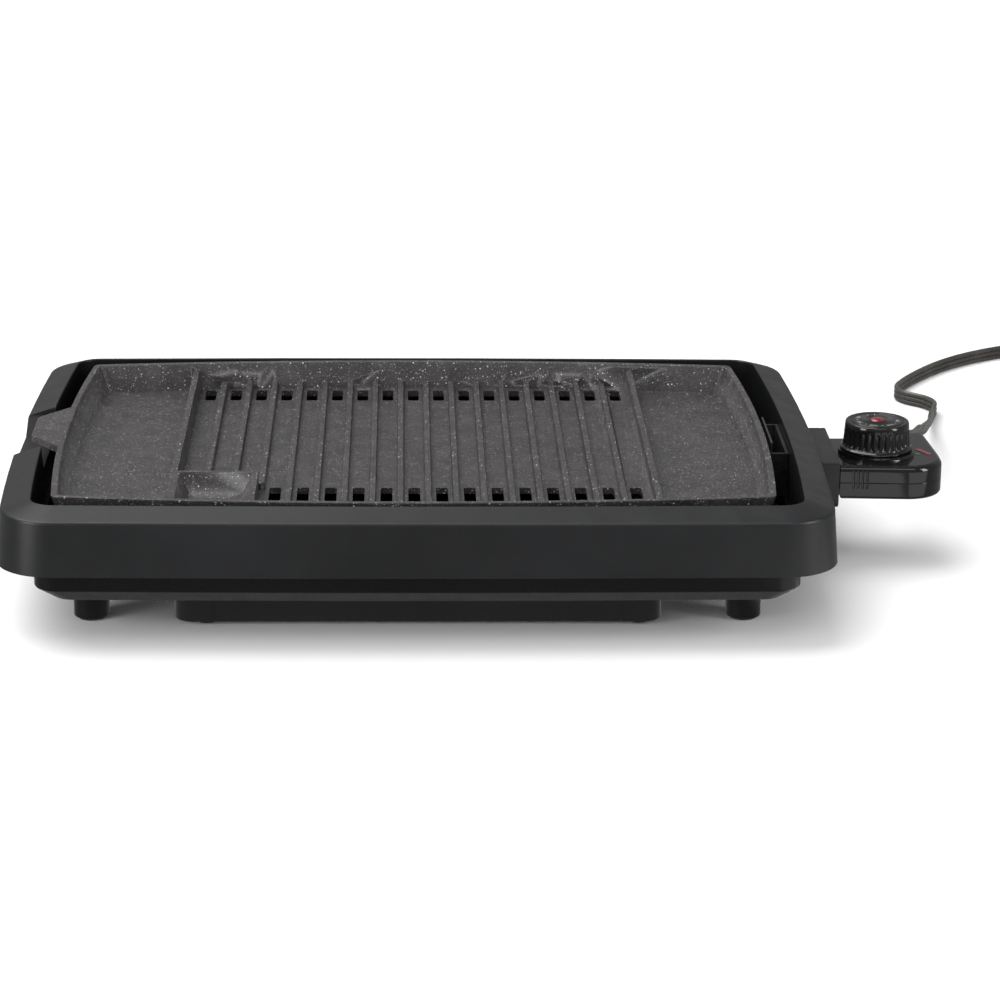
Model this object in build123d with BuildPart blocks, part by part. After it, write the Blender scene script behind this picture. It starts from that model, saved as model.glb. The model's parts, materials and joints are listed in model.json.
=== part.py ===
from build123d import *
import math
import os

os.makedirs("parts", exist_ok=True)

# An indoor electric griddle with a lift-out cooking plate and a plug-in temperature control.
# The table is z = 0 and the front is -Y. Lengths are in millimetres.

# Driving dimensions: cooking frame
frame_x = -40.5  # the frame's centre: the control reaches past its right side
frame_half_x = 260.0
frame_half_y = 192.0
side_bow = 6.0
end_bow = 3.0
skirt_z = 49.5
crease_z = 83.0
rim_z = 89.0
skirt_draft = 2.5
bezel_width = 18.0
frame_wall = 2.6
frame_corner = 36.0
opening_corner = 15.0
clearance = 0.3

# Driving dimensions: base tub, feet and drip tray
tub_inset = 21.0
tub_floor_z = 24.0
tub_bend_z = 33.5
tub_chamfer = 11.5
tub_wall = 2.5
flange_top_z = 51.0
foot_x = 203.0
foot_y = 118.0
foot_radius = 11.0
tray_half_x = 143.0
tray_front_half_x = 151.0
tray_front_y = -138.0
tray_rear_y = 140.0
tray_base_z = 3.0
tray_top_z = 19.5
drip_opening_half_x = 115.0
drip_opening_half_y = 100.0

# Driving dimensions: cooking plate
plate_x = frame_x - 2.5
plate_half_x = 227.25
plate_half_y = 166.0
plate_side_bow = 7.0
plate_end_bow = 13.0
plate_base_z = 68.0
plate_floor_z = 72.0
divider_top_z = 84.5
divider_x = 150.0
divider_width = 4.0
wall_slope = 6.0
plate_rim_width = 4.0
rib_pitch = 17.4
rib_count = 16
rib_width = 3.8
rib_height = 4.5

# Driving dimensions: control and its contacts
control_y = 3.0
pin_z = 60.5
pin_spacing = 22.0
pin_radius = 2.5
shroud_end_x = frame_x + 271.5
control_left_x = frame_x + 273.0
control_right_x = frame_x + 341.5
control_front_y = -34.0
control_back_y = 36.5
control_rear_y = 49.5
control_base_z = 49.0
control_top_z = 71.3
parting_z = 60.0
control_wall = 2.0
knob_x = frame_x + 300.0
knob_y = 2.0
knob_top_z = 93.0
cord_x = frame_x + 331.0
cord_radius = 5.3

opening_half_x = frame_half_x - skirt_draft - bezel_width
opening_half_y = frame_half_y - skirt_draft - bezel_width


def bowed_outline(
    height, half_x, half_y, corner, bow_x=side_bow, bow_y=end_bow, centre_x=frame_x, span=None
):
    """Sketch a rectangle with bowed sides and round corners, or the span of it between two X values."""
    corner_x = half_x - bow_x
    corner_y = half_y - bow_y
    with BuildSketch(Plane((centre_x, 0, height))) as outline:
        with BuildLine():
            ThreePointArc((-corner_x, -corner_y), (0, -half_y), (corner_x, -corner_y))
            ThreePointArc((corner_x, -corner_y), (half_x, 0), (corner_x, corner_y))
            ThreePointArc((corner_x, corner_y), (0, half_y), (-corner_x, corner_y))
            ThreePointArc((-corner_x, corner_y), (-half_x, 0), (-corner_x, -corner_y))
        make_face()
        fillet(outline.vertices(), corner)
        if span:
            with Locations(((span[0] + span[1]) / 2, 0)):
                Rectangle(span[1] - span[0], 3 * half_y, mode=Mode.INTERSECT)
    return outline.sketch


def discs(height, spots, radius):
    """Sketch a group of equal discs at a height."""
    with BuildSketch(Plane.XY.offset(height)) as group:
        with Locations(*spots):
            Circle(radius)
    return group.sketch


def frame_outline(height, outset, corner):
    """Sketch the frame's outline, set out from the cooking opening's edge."""
    return bowed_outline(height, opening_half_x + outset, opening_half_y + outset, corner)


def save(builder, name):
    """Label a finished piece and write it to its own file."""
    builder.part.label = name
    export_step(builder.part, f"parts/{name}.step")


# ---------------------------------------------------------------- frame casing
skirt_outset = bezel_width + skirt_draft
with BuildPart() as frame_envelope:
    loft(
        [
            frame_outline(skirt_z, skirt_outset, frame_corner),
            frame_outline(crease_z, bezel_width, frame_corner - 1),
            frame_outline(rim_z, 0, opening_corner),
        ],
        ruled=True,
    )

# The notch that the plate's tab rests in is cut from a solid block of the frame.
notch_floor_z = 71.0
notch_top_half = 45.0
notch_floor_half = 35.0
with BuildPart() as notch_block:
    add(frame_envelope.part)
    with Locations((frame_x - opening_half_x - bezel_width / 2, 0, notch_floor_z + 7)):
        Box(bezel_width - 1, 2 * notch_top_half + 6, 19, mode=Mode.INTERSECT)

boss_spots = [(frame_x + x, y) for x in (-246.5, 246.5) for y in (-100, 100)]
boss_spots += [(frame_x + x, y) for x in (-120, 120) for y in (-178.5, 178.5)]
boss_radius = 4.0
boss_top_z = 84.0
screw_radius = 1.5
window_half_y = 26.0
window_top_z = 70.5

with BuildPart() as frame_casing:
    add(frame_envelope.part)
    loft(
        [
            frame_outline(skirt_z - 0.1, skirt_outset - frame_wall, frame_corner - frame_wall),
            frame_outline(crease_z - 1.6, bezel_width - frame_wall, frame_corner - frame_wall - 1),
            frame_outline(rim_z - 2.8, 0, opening_corner),
        ],
        ruled=True,
        mode=Mode.SUBTRACT,
    )
    inner_wall = frame_outline(flange_top_z + clearance, frame_wall, opening_corner + frame_wall)
    extrude(inner_wall, amount=rim_z - 1.8 - flange_top_z)
    add(notch_block.part)
    extrude(discs(flange_top_z, boss_spots, boss_radius), amount=boss_top_z - flange_top_z)
    extrude(discs(flange_top_z, boss_spots, screw_radius), amount=14, mode=Mode.SUBTRACT)
    extrude(frame_outline(skirt_z - 5, 0, opening_corner), amount=60, mode=Mode.SUBTRACT)
    with BuildSketch(Plane.YZ.offset(frame_x - frame_half_x - 5)) as notch:
        with BuildLine():
            Polyline(
                (-notch_top_half, rim_z + 5),
                (-notch_top_half, crease_z),
                (-notch_floor_half, notch_floor_z),
                (notch_floor_half, notch_floor_z),
                (notch_top_half, crease_z),
                (notch_top_half, rim_z + 5),
                close=True,
            )
        make_face()
        fillet(notch.vertices().sort_by(Axis.Y)[1:-1].sort_by(Axis.Z)[:2], 7)
    extrude(amount=35, mode=Mode.SUBTRACT)
    window_height = window_top_z - flange_top_z - clearance
    with Locations((frame_x + frame_half_x - 10, control_y, window_top_z - window_height / 2)):
        Box(40, 2 * window_half_y, window_height, mode=Mode.SUBTRACT)
save(frame_casing, "frame_casing")

# ---------------------------------------------------------------- base tub
tub_outset = skirt_outset - tub_inset
flange_outset = skirt_outset - 7.5
casing_screw_z = flange_top_z - 2
foot_spots = [(frame_x + x, y) for x in (-foot_x, foot_x) for y in (-foot_y, foot_y)]
rail_x = 155.2
rail_spots = [(frame_x + x, y) for x in (-rail_x, rail_x) for y in (-80, 110)]

with BuildPart() as base_tub:
    loft(
        [
            frame_outline(tub_floor_z, tub_outset - tub_chamfer, 11),
            frame_outline(tub_bend_z, tub_outset, opening_corner),
        ],
        ruled=True,
    )
    extrude(frame_outline(tub_bend_z, tub_outset, opening_corner), amount=casing_screw_z - tub_bend_z)
    flange_outline = frame_outline(casing_screw_z, flange_outset, frame_corner - 8)
    extrude(flange_outline, amount=flange_top_z - casing_screw_z)
    loft(
        [
            frame_outline(tub_floor_z + tub_wall, tub_outset - tub_chamfer - 1.5, 10),
            frame_outline(tub_bend_z + 1, tub_outset - tub_wall, opening_corner - 2),
        ],
        ruled=True,
        mode=Mode.SUBTRACT,
    )
    tub_inside = frame_outline(tub_bend_z + 1, tub_outset - tub_wall, opening_corner - 2)
    extrude(tub_inside, amount=30, mode=Mode.SUBTRACT)
    with BuildSketch(Plane((frame_x, 0, tub_floor_z - 1))):
        RectangleRounded(2 * drip_opening_half_x, 2 * drip_opening_half_y, 20)
    extrude(amount=5, mode=Mode.SUBTRACT)
    screw_spots = boss_spots + foot_spots + rail_spots
    extrude(discs(tub_floor_z - 1, screw_spots, screw_radius), amount=40, mode=Mode.SUBTRACT)
save(base_tub, "base_tub")

with BuildPart() as casing_screws:
    extrude(discs(casing_screw_z - 2, boss_spots, 3), amount=2)
    extrude(discs(casing_screw_z, boss_spots, screw_radius), amount=12)
save(casing_screws, "casing_screws")

# ---------------------------------------------------------------- feet
pad_height = 3.0
foot_base_z = 1.2
pad_radius = 8.5
foot_screw_depth = 10.0
foot_names = ["foot_rear_left", "foot_front_left", "foot_rear_right", "foot_front_right"]
for name, (x, y) in zip(foot_names, sorted(foot_spots, key=lambda spot: (spot[0], -spot[1]))):
    with BuildPart() as foot:
        with BuildSketch(Plane((x, y, foot_base_z))):
            Circle(foot_radius)
        extrude(amount=tub_floor_z - foot_base_z)
        fillet(foot.edges().group_by(Axis.Z)[0], 1.2)
        with BuildSketch(Plane((x, y, 0))):
            Circle(pad_radius)
        extrude(amount=pad_height, mode=Mode.SUBTRACT)
        with BuildSketch(Plane((x, y, tub_floor_z - foot_screw_depth))):
            Circle(screw_radius)
        extrude(amount=foot_screw_depth, mode=Mode.SUBTRACT)
    save(foot, name)

with BuildPart() as foot_pads:
    with BuildSketch():
        with Locations(*foot_spots):
            Circle(pad_radius)
    extrude(amount=pad_height)
save(foot_pads, "foot_pads")

with BuildPart() as foot_screws:
    shanks = discs(tub_floor_z - foot_screw_depth, foot_spots, screw_radius)
    extrude(shanks, amount=foot_screw_depth + tub_wall)
    extrude(discs(tub_floor_z + tub_wall, foot_spots, 3.2), amount=2)
save(foot_screws, "foot_screws")

# ---------------------------------------------------------------- drip tray and its rails
tray_wall = 2.0
lip_reach = 6.0
lip_height = 2.0
tray_length = tray_rear_y - tray_front_y
tray_y = (tray_rear_y + tray_front_y) / 2

with BuildPart() as drip_tray:
    with BuildSketch(Plane((frame_x, tray_y + 2, tray_base_z))):
        RectangleRounded(2 * tray_half_x, tray_length - 4, 13)
    extrude(amount=tray_top_z - tray_base_z, taper=-3)
    with BuildSketch(Plane((frame_x, tray_y + 20, tray_top_z - lip_height))):
        RectangleRounded(2 * (tray_half_x + lip_reach), tray_length - 42, 4)
    extrude(amount=lip_height)
    with BuildSketch(Plane((frame_x, tray_front_y + 13, tray_base_z))):
        RectangleRounded(2 * tray_front_half_x, 26, 12.5)
    extrude(amount=tray_top_z - tray_base_z)
    with BuildSketch(Plane((frame_x, tray_y + 2, tray_base_z + tray_wall))):
        RectangleRounded(2 * (tray_half_x - tray_wall), tray_length - 4 - 2 * tray_wall, 11)
    extrude(amount=tray_top_z, taper=-3, mode=Mode.SUBTRACT)
    stud_spots = [(frame_x + x, y) for x in (-131, 137) for y in (-128, 126)]
    extrude(discs(tray_base_z - 2, stud_spots, 6), amount=2)
save(drip_tray, "drip_tray")

rail_base_z = tray_top_z - lip_height - 2.4
rail_inner_x = tray_half_x + 2.6
rail_web_x = tray_half_x + lip_reach + 1.2
rail_start_y = tray_front_y + 30
rail_length = 240.0
for name, side in (("tray_rail_left", -1), ("tray_rail_right", 1)):
    with BuildPart() as rail:
        with BuildSketch(Plane((frame_x, rail_start_y, 0), x_dir=(side, 0, 0), z_dir=(0, -side, 0))):
            with BuildLine():
                Polyline(
                    (rail_inner_x, rail_base_z),
                    (rail_web_x + 2, rail_base_z),
                    (rail_web_x + 2, tub_floor_z - 2),
                    (rail_web_x + 10, tub_floor_z - 2),
                    (rail_web_x + 10, tub_floor_z),
                    (rail_web_x, tub_floor_z),
                    (rail_web_x, rail_base_z + 1.8),
                    (rail_inner_x, rail_base_z + 1.8),
                    close=True,
                )
            make_face()
        extrude(amount=-side * rail_length)
        with BuildSketch(Plane.XY.offset(tub_floor_z - 3)):
            with Locations(*[(x, y) for x, y in rail_spots if (x - frame_x) * side > 0]):
                Circle(screw_radius)
        extrude(amount=4, mode=Mode.SUBTRACT)
    save(rail, name)

with BuildPart() as rail_screws:
    extrude(discs(tub_floor_z - 2, rail_spots, screw_radius), amount=2 + tub_wall)
    extrude(discs(tub_floor_z + tub_wall, rail_spots, 3), amount=2)
save(rail_screws, "rail_screws")

# ---------------------------------------------------------------- heat reflector
reflector_rim_z = 46.0
sheet = 0.9


def bowl(top_z):
    """Fill the space that the sloped reflector encloses, up to a height."""
    loft(
        [
            bowed_outline(tub_floor_z + tub_wall, drip_opening_half_x + 6, drip_opening_half_y + 6, 22),
            bowed_outline(reflector_rim_z, 196, 152, 40),
        ],
        ruled=True,
    )
    extrude(bowed_outline(reflector_rim_z, 196, 152, 40), amount=top_z - reflector_rim_z)


with BuildPart() as bowl_space:
    bowl(80)

with BuildPart() as heat_reflector:
    bowl(reflector_rim_z + 2)
    with Locations((0, 0, sheet)):
        add(bowl_space.part, mode=Mode.SUBTRACT)
    with BuildSketch(Plane((frame_x, 0, tub_floor_z))):
        RectangleRounded(2 * drip_opening_half_x, 2 * drip_opening_half_y, 20)
    extrude(amount=10, mode=Mode.SUBTRACT)
    extrude(discs(tub_floor_z, rail_spots, 6), amount=25, mode=Mode.SUBTRACT)
save(heat_reflector, "heat_reflector")

# ---------------------------------------------------------------- heating element
element_radius = 3.25
element_half_x = 172.0
element_half_y = 112.0
element_end_x = frame_x + 224.0
leg_low_y = control_y - pin_spacing / 2
leg_high_y = control_y + pin_spacing / 2
with BuildPart() as heating_element:
    with BuildLine():
        element_path = FilletPolyline(
            (element_end_x, leg_high_y, pin_z),
            (frame_x + element_half_x, leg_high_y, pin_z),
            (frame_x + element_half_x, element_half_y, pin_z),
            (frame_x - element_half_x, element_half_y, pin_z),
            (frame_x - element_half_x, -element_half_y, pin_z),
            (frame_x + element_half_x, -element_half_y, pin_z),
            (frame_x + element_half_x, leg_low_y, pin_z),
            (element_end_x, leg_low_y, pin_z),
            radius=14,
        )
    with BuildSketch(Plane(origin=element_path @ 0, z_dir=element_path % 0)):
        Circle(element_radius)
    sweep()
save(heating_element, "heating_element")

# Each clip stands on the reflector's slope, and the element runs through its eye.
clip_height = element_radius + 1.3
long_clips = [(frame_x + x, y) for x in (-100, 100) for y in (-element_half_y, element_half_y)]
short_clips = [(frame_x - element_half_x, 0)]
short_clips += [(frame_x + element_half_x, y) for y in (-70, 70)]
with BuildPart() as element_clips:
    with Locations(*[(x, y, pin_z + clip_height - 20) for x, y in long_clips]):
        Box(1.5, 12, 40)
    with Locations(*[(x, y, pin_z + clip_height - 20) for x, y in short_clips]):
        Box(12, 1.5, 40)
    with Locations((0, 0, sheet)):
        add(bowl_space.part, mode=Mode.INTERSECT)
    add(heating_element.part, mode=Mode.SUBTRACT)
save(element_clips, "element_clips")

# ---------------------------------------------------------------- cooking plate
plate_base_inset = 6.5
tab_thickness = 4.5
tab_tip_x = frame_x - 248.2
divider_flare = 1.5
pocket_rear_y = -84.0
pocket_right_x = -97.5
slot_width = 7.5
slot_rows = [(122.0, 147.0), (-114.0, -80.0)]
side_span = 400.0


def plate_outline(height, inset, corner, span=None):
    """Sketch the plate's outline, set in from its rim."""
    half_x = plate_half_x - inset
    half_y = plate_half_y - inset
    return bowed_outline(height, half_x, half_y, corner, plate_side_bow, plate_end_bow, plate_x, span)


def inner_inset(height):
    """Give how far the sloped inner wall stands in from the rim's edge at a height."""
    return plate_rim_width + wall_slope * (rim_z - height) / (rim_z - plate_floor_z)


def zone_span(side, height):
    """Give a cooking zone's X range: -1 is left, 0 is the middle and 1 is right."""
    flare = divider_flare * (divider_top_z - height) / (divider_top_z - plate_floor_z)
    near = divider_x + divider_width / 2 + flare
    middle = divider_x - divider_width / 2 - flare
    spans = {-1: (-side_span, -near), 0: (-middle, middle), 1: (near, side_span)}
    return spans[side]


def front_wall_y(x, inset):
    """Give the half depth of the bowed plate at an X from its middle."""
    return plate_half_y - inset - plate_end_bow * (x / (plate_half_x - plate_side_bow)) ** 2


rib_xs = [(index - (rib_count - 1) / 2) * rib_pitch for index in range(rib_count)]
slot_xs = [(index - rib_count / 2) * rib_pitch for index in range(rib_count + 1)]
slot_spots = []
for low_y, high_y in slot_rows:
    behind_pocket = high_y > 0
    slot_spots += [(x, low_y, high_y) for x in slot_xs if behind_pocket or x > pocket_right_x]

with BuildPart() as plate_envelope:
    loft([plate_outline(plate_base_z, plate_base_inset, 4), plate_outline(rim_z, 0, 5)], ruled=True)

tab_tip = tab_tip_x - plate_x
with BuildPart() as plate_tab:
    with BuildSketch(Plane((plate_x, 0, rim_z - tab_thickness))) as tab:
        with BuildLine():
            Polyline(
                (tab_tip + 27, -54),
                (tab_tip + 22, -49),
                (tab_tip, -21),
                (tab_tip, 21),
                (tab_tip + 22, 49),
                (tab_tip + 27, 54),
                close=True,
            )
        make_face()
        fillet(tab.vertices().group_by(Axis.X)[0], 12)
    extrude(amount=tab_thickness)
    add(plate_envelope.part, mode=Mode.SUBTRACT)

with BuildPart() as cooking_plate:
    add(plate_envelope.part)
    loft(
        [
            plate_outline(divider_top_z, inner_inset(divider_top_z), 3),
            plate_outline(rim_z + 1, inner_inset(rim_z + 1), 3),
        ],
        ruled=True,
        mode=Mode.SUBTRACT,
    )
    for side in (-1, 0, 1):
        loft(
            [
                plate_outline(height, inner_inset(height), 3, zone_span(side, height))
                for height in (plate_floor_z, divider_top_z)
            ],
            ruled=True,
            mode=Mode.SUBTRACT,
        )
    with BuildSketch(Plane((plate_x, 0, plate_floor_z - 0.5))):
        for x in rib_xs:
            low_y = pocket_rear_y if x < pocket_right_x + 4 else 2 - front_wall_y(x, 10)
            high_y = front_wall_y(x, 10) + 2
            with Locations((x, (low_y + high_y) / 2)):
                Rectangle(rib_width + 1, high_y - low_y)
    extrude(amount=rib_height + 0.5, taper=6)
    with BuildSketch(Plane((plate_x, 0, plate_floor_z))):
        pocket_low_y = -front_wall_y(divider_x, 8)
        pocket_left_x = -divider_x - 1
        with Locations(((pocket_left_x + pocket_right_x) / 2, (pocket_low_y + pocket_rear_y) / 2)):
            Rectangle(pocket_right_x - pocket_left_x, pocket_rear_y - pocket_low_y)
    extrude(amount=divider_top_z - plate_floor_z)
    pocket_centre = (plate_x + (pocket_right_x - divider_x) / 2, (pocket_rear_y - 149) / 2)
    with BuildSketch(Plane((*pocket_centre, divider_top_z))):
        Rectangle(divider_x + pocket_right_x - 7, 149 + pocket_rear_y - 7)
    with BuildSketch(Plane((*pocket_centre, plate_floor_z + 1))):
        Rectangle(divider_x + pocket_right_x - 19, 149 + pocket_rear_y - 19)
    loft(ruled=True, mode=Mode.SUBTRACT)
    with BuildSketch(Plane((*pocket_centre, plate_base_z - 1))):
        RectangleRounded(24, 14, 5)
    extrude(amount=8, mode=Mode.SUBTRACT)
    with BuildSketch(Plane((plate_x, 0, plate_base_z - 1))):
        for x, low_y, high_y in slot_spots:
            with Locations((x, (low_y + high_y) / 2)):
                RectangleRounded(slot_width, high_y - low_y, 2)
    extrude(amount=plate_floor_z - plate_base_z + 2, mode=Mode.SUBTRACT)
    add(plate_tab.part)
save(cooking_plate, "cooking_plate")

# ---------------------------------------------------------------- plate supports
support_spots = [(frame_x + x, y) for x in (-206, 201) for y in (-141, 141)]
with BuildPart() as plate_supports:
    extrude(discs(tub_floor_z + tub_wall, support_spots, 7), amount=2)
    post_height = plate_base_z - clearance - tub_floor_z - tub_wall
    extrude(discs(tub_floor_z + tub_wall, support_spots, 4), amount=post_height)
save(plate_supports, "plate_supports")

# ---------------------------------------------------------------- terminal box and pins
box_left_x = frame_x + 227.5
box_right_x = frame_x + 238.9
box_half_y = 34.0
box_top_z = 80.0
blade_top_z = 86.0
blade_half_y = 30.0
insulator_radius = 4.5
probe_hole_radius = 3.6
pin_ys = (leg_low_y, leg_high_y)
box_centre_x = (box_left_x + box_right_x) / 2
with BuildPart() as terminal_box:
    with BuildSketch(Plane((box_centre_x, control_y, flange_top_z))):
        Rectangle(box_right_x - box_left_x, 2 * box_half_y)
    extrude(amount=box_top_z - flange_top_z)
    with BuildSketch(Plane((box_centre_x - 0.4, control_y, flange_top_z + 2))):
        Rectangle(box_right_x - box_left_x - 3.2, 2 * box_half_y - 3.2)
    extrude(amount=box_top_z, mode=Mode.SUBTRACT)
    with BuildSketch(Plane((box_left_x + 0.6, control_y, box_top_z - 1))):
        Rectangle(1.2, 2 * blade_half_y)
    extrude(amount=blade_top_z - box_top_z + 1)
    with BuildSketch(Plane.YZ.offset(box_left_x - 1)):
        with Locations(*[(y, pin_z) for y in pin_ys]):
            Circle(insulator_radius)
        with Locations((control_y, pin_z)):
            Circle(probe_hole_radius)
    extrude(amount=20, mode=Mode.SUBTRACT)
save(terminal_box, "terminal_box")

pin_start_x = element_end_x
pin_end_x = frame_x + 262.0
with BuildPart() as terminal_pins:
    with BuildSketch(Plane.YZ.offset(pin_start_x)):
        with Locations(*[(y, pin_z) for y in pin_ys]):
            Circle(pin_radius)
    extrude(amount=pin_end_x - pin_start_x)
    chamfer(terminal_pins.edges().group_by(Axis.X)[-1], 1.2)
save(terminal_pins, "terminal_pins")

with BuildPart() as terminal_insulators:
    with BuildSketch(Plane.YZ.offset(frame_x + 226)):
        with Locations(*[(y, pin_z) for y in pin_ys]):
            Circle(insulator_radius)
            Circle(pin_radius, mode=Mode.SUBTRACT)
    extrude(amount=14.5)
save(terminal_insulators, "terminal_insulators")

# ---------------------------------------------------------------- control shroud
shroud_half_y = 40.5
shroud_base_z = 50.0
shroud_top_z = 76.0
shroud_wall = 2.5
lip_base_z = 45.0
shroud_height = shroud_top_z - shroud_base_z
with BuildPart() as control_shroud:
    with BuildSketch(Plane((frame_x + 262, control_y, shroud_base_z))):
        Rectangle(2 * (shroud_end_x - frame_x - 262), 2 * shroud_half_y)
    extrude(amount=shroud_height)
    with BuildSketch(Plane.YZ.offset(shroud_end_x - 2.6)) as lip:
        with Locations((control_y, (shroud_top_z + lip_base_z) / 2)):
            Rectangle(2 * shroud_half_y, shroud_top_z - lip_base_z)
        fillet(lip.vertices().group_by(Axis.Z)[0], 4)
    extrude(amount=2.6)
    with Locations((frame_x + 262, control_y, shroud_base_z + shroud_height / 2)):
        Box(30, 2 * (shroud_half_y - shroud_wall), shroud_height - 2 * shroud_wall, mode=Mode.SUBTRACT)
    add(frame_envelope.part, mode=Mode.SUBTRACT)
    outer_edges = control_shroud.edges().filter_by(Axis.X).group_by(Axis.Z)[-1]
    fillet(outer_edges, 1.5)
save(control_shroud, "control_shroud")

# ---------------------------------------------------------------- control housing
nose_half_y = 20.0
nose_base_z = 54.0
nose_top_z = 67.0
front_right_corner = 24.0
gland_corner = 4.0
gland_left_x = frame_x + 324.0
shoulder_radius = 4.0
relief_neck_radius = 3.6
boss_ring_radius = 25.0
boss_ring_height = 2.7
housing_screw_spots = [(control_left_x + 7, -24), (control_left_x + 7, 30)]
housing_screw_spots += [(control_right_x - 14, -15), (control_left_x + 35, 30)]
lamp_x = frame_x + 331.3
lamp_y = 2.0
lamp_angle = -61.0
lens_x = frame_x + 326.7
lens_y = -2.8
lens_radius = 1.7


def control_outline(height, inset=0.0):
    """Sketch the control's plan: a rounded front corner and a block at the rear for the cord."""
    with BuildSketch(Plane.XY.offset(height)) as outline:
        with BuildLine():
            Polyline(
                (control_left_x, control_front_y + 3.5),
                (control_right_x, control_front_y),
                (control_right_x, 0),
                (control_right_x - 3, control_rear_y),
                (gland_left_x, control_rear_y),
                (gland_left_x - 6, control_back_y),
                (control_left_x, control_back_y),
                close=True,
            )
        make_face()
        by_y = outline.vertices().sort_by(Axis.Y)
        fillet(by_y[0], front_right_corner)
        rear_points = outline.vertices().sort_by(Axis.Y)[-4:]
        fillet(rear_points.sort_by(Axis.X)[1:], gland_corner)
        if inset:
            offset(amount=-inset)
    return outline.sketch


def cord_hole():
    """Cut the opening that the strain relief's neck fills in the rear wall."""
    with BuildSketch(Plane((cord_x, control_rear_y + 1, parting_z), z_dir=(0, -1, 0))) as hole:
        Circle(relief_neck_radius)
    extrude(hole.sketch, amount=control_wall + 2, mode=Mode.SUBTRACT)


def nose_window():
    """Cut the opening that the contact block passes through in the left wall."""
    with Locations((control_left_x, control_y, (nose_base_z + nose_top_z) / 2)):
        Box(4 * control_wall, 2 * nose_half_y, nose_top_z - nose_base_z, mode=Mode.SUBTRACT)


def screw_columns(low_z, high_z):
    """Add the round columns that the housing screws run in."""
    extrude(discs(low_z, housing_screw_spots, 3.6), amount=high_z - low_z)


def screw_bores(low_z, high_z, radius):
    """Cut the bores for the housing screws."""
    extrude(discs(low_z, housing_screw_spots, radius), amount=high_z - low_z, mode=Mode.SUBTRACT)


head_radius = 2.8
head_top_z = control_base_z + 2.4
screw_tip_z = 66.0
with BuildPart() as housing_bottom:
    extrude(control_outline(control_base_z), amount=parting_z - control_base_z)
    fillet(housing_bottom.faces().sort_by(Axis.Z)[0].edges(), 2.4)
    extrude(control_outline(control_base_z + control_wall, control_wall), amount=20, mode=Mode.SUBTRACT)
    screw_columns(control_base_z + 1, parting_z)
    screw_bores(control_base_z - 1, head_top_z, head_radius)
    screw_bores(control_base_z - 1, parting_z + 1, 1.4)
    nose_window()
    cord_hole()
save(housing_bottom, "housing_bottom")

with BuildPart() as housing_top:
    extrude(control_outline(parting_z), amount=control_top_z - parting_z)
    shoulder = housing_top.faces().sort_by(Axis.Z)[-1].edges().sort_by(Axis.X)[1:]
    fillet(shoulder, shoulder_radius)
    with BuildSketch(Plane((knob_x, knob_y, control_top_z - shoulder_radius))):
        Circle(boss_ring_radius)
    extrude(amount=shoulder_radius + boss_ring_height)
    cavity_height = control_top_z - control_wall - parting_z + 1
    extrude(control_outline(parting_z - 1, control_wall), amount=cavity_height, mode=Mode.SUBTRACT)
    screw_columns(parting_z, control_top_z - 1)
    screw_bores(parting_z - 1, screw_tip_z, 1.4)
    with BuildSketch(Plane((knob_x, knob_y, parting_z))):
        Circle(3.5)
    extrude(amount=20, mode=Mode.SUBTRACT)
    with BuildSketch(Plane.XY.offset(parting_z)):
        with Locations((lens_x, lens_y)):
            Circle(lens_radius)
        with Locations(Location((lamp_x, lamp_y), lamp_angle)):
            SlotOverall(14.5, 3.6)
    extrude(amount=20, mode=Mode.SUBTRACT)
    nose_window()
    cord_hole()
save(housing_top, "housing_top")

with BuildPart() as housing_screws:
    extrude(discs(head_top_z - 1.8, housing_screw_spots, head_radius), amount=1.8)
    extrude(discs(head_top_z, housing_screw_spots, 1.4), amount=screw_tip_z - head_top_z)
save(housing_screws, "housing_screws")

# ---------------------------------------------------------------- lamp window and power lens
with BuildPart() as lamp_window:
    with BuildSketch(Plane.XY.offset(control_top_z - control_wall)):
        with Locations(Location((lamp_x, lamp_y), lamp_angle)):
            SlotOverall(14.5, 3.6)
    extrude(amount=control_wall + 0.3)
    with BuildSketch(Plane.XY.offset(control_top_z - control_wall - 1.5)):
        with Locations(Location((lamp_x, lamp_y), lamp_angle)):
            SlotOverall(16.5, 5)
    extrude(amount=1.5)
save(lamp_window, "lamp_window")

with BuildPart() as power_lens:
    with BuildSketch(Plane((lens_x, lens_y, control_top_z - control_wall - 1.5))):
        Circle(lens_radius)
    extrude(amount=control_wall + 1.7)
save(power_lens, "power_lens")

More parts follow.
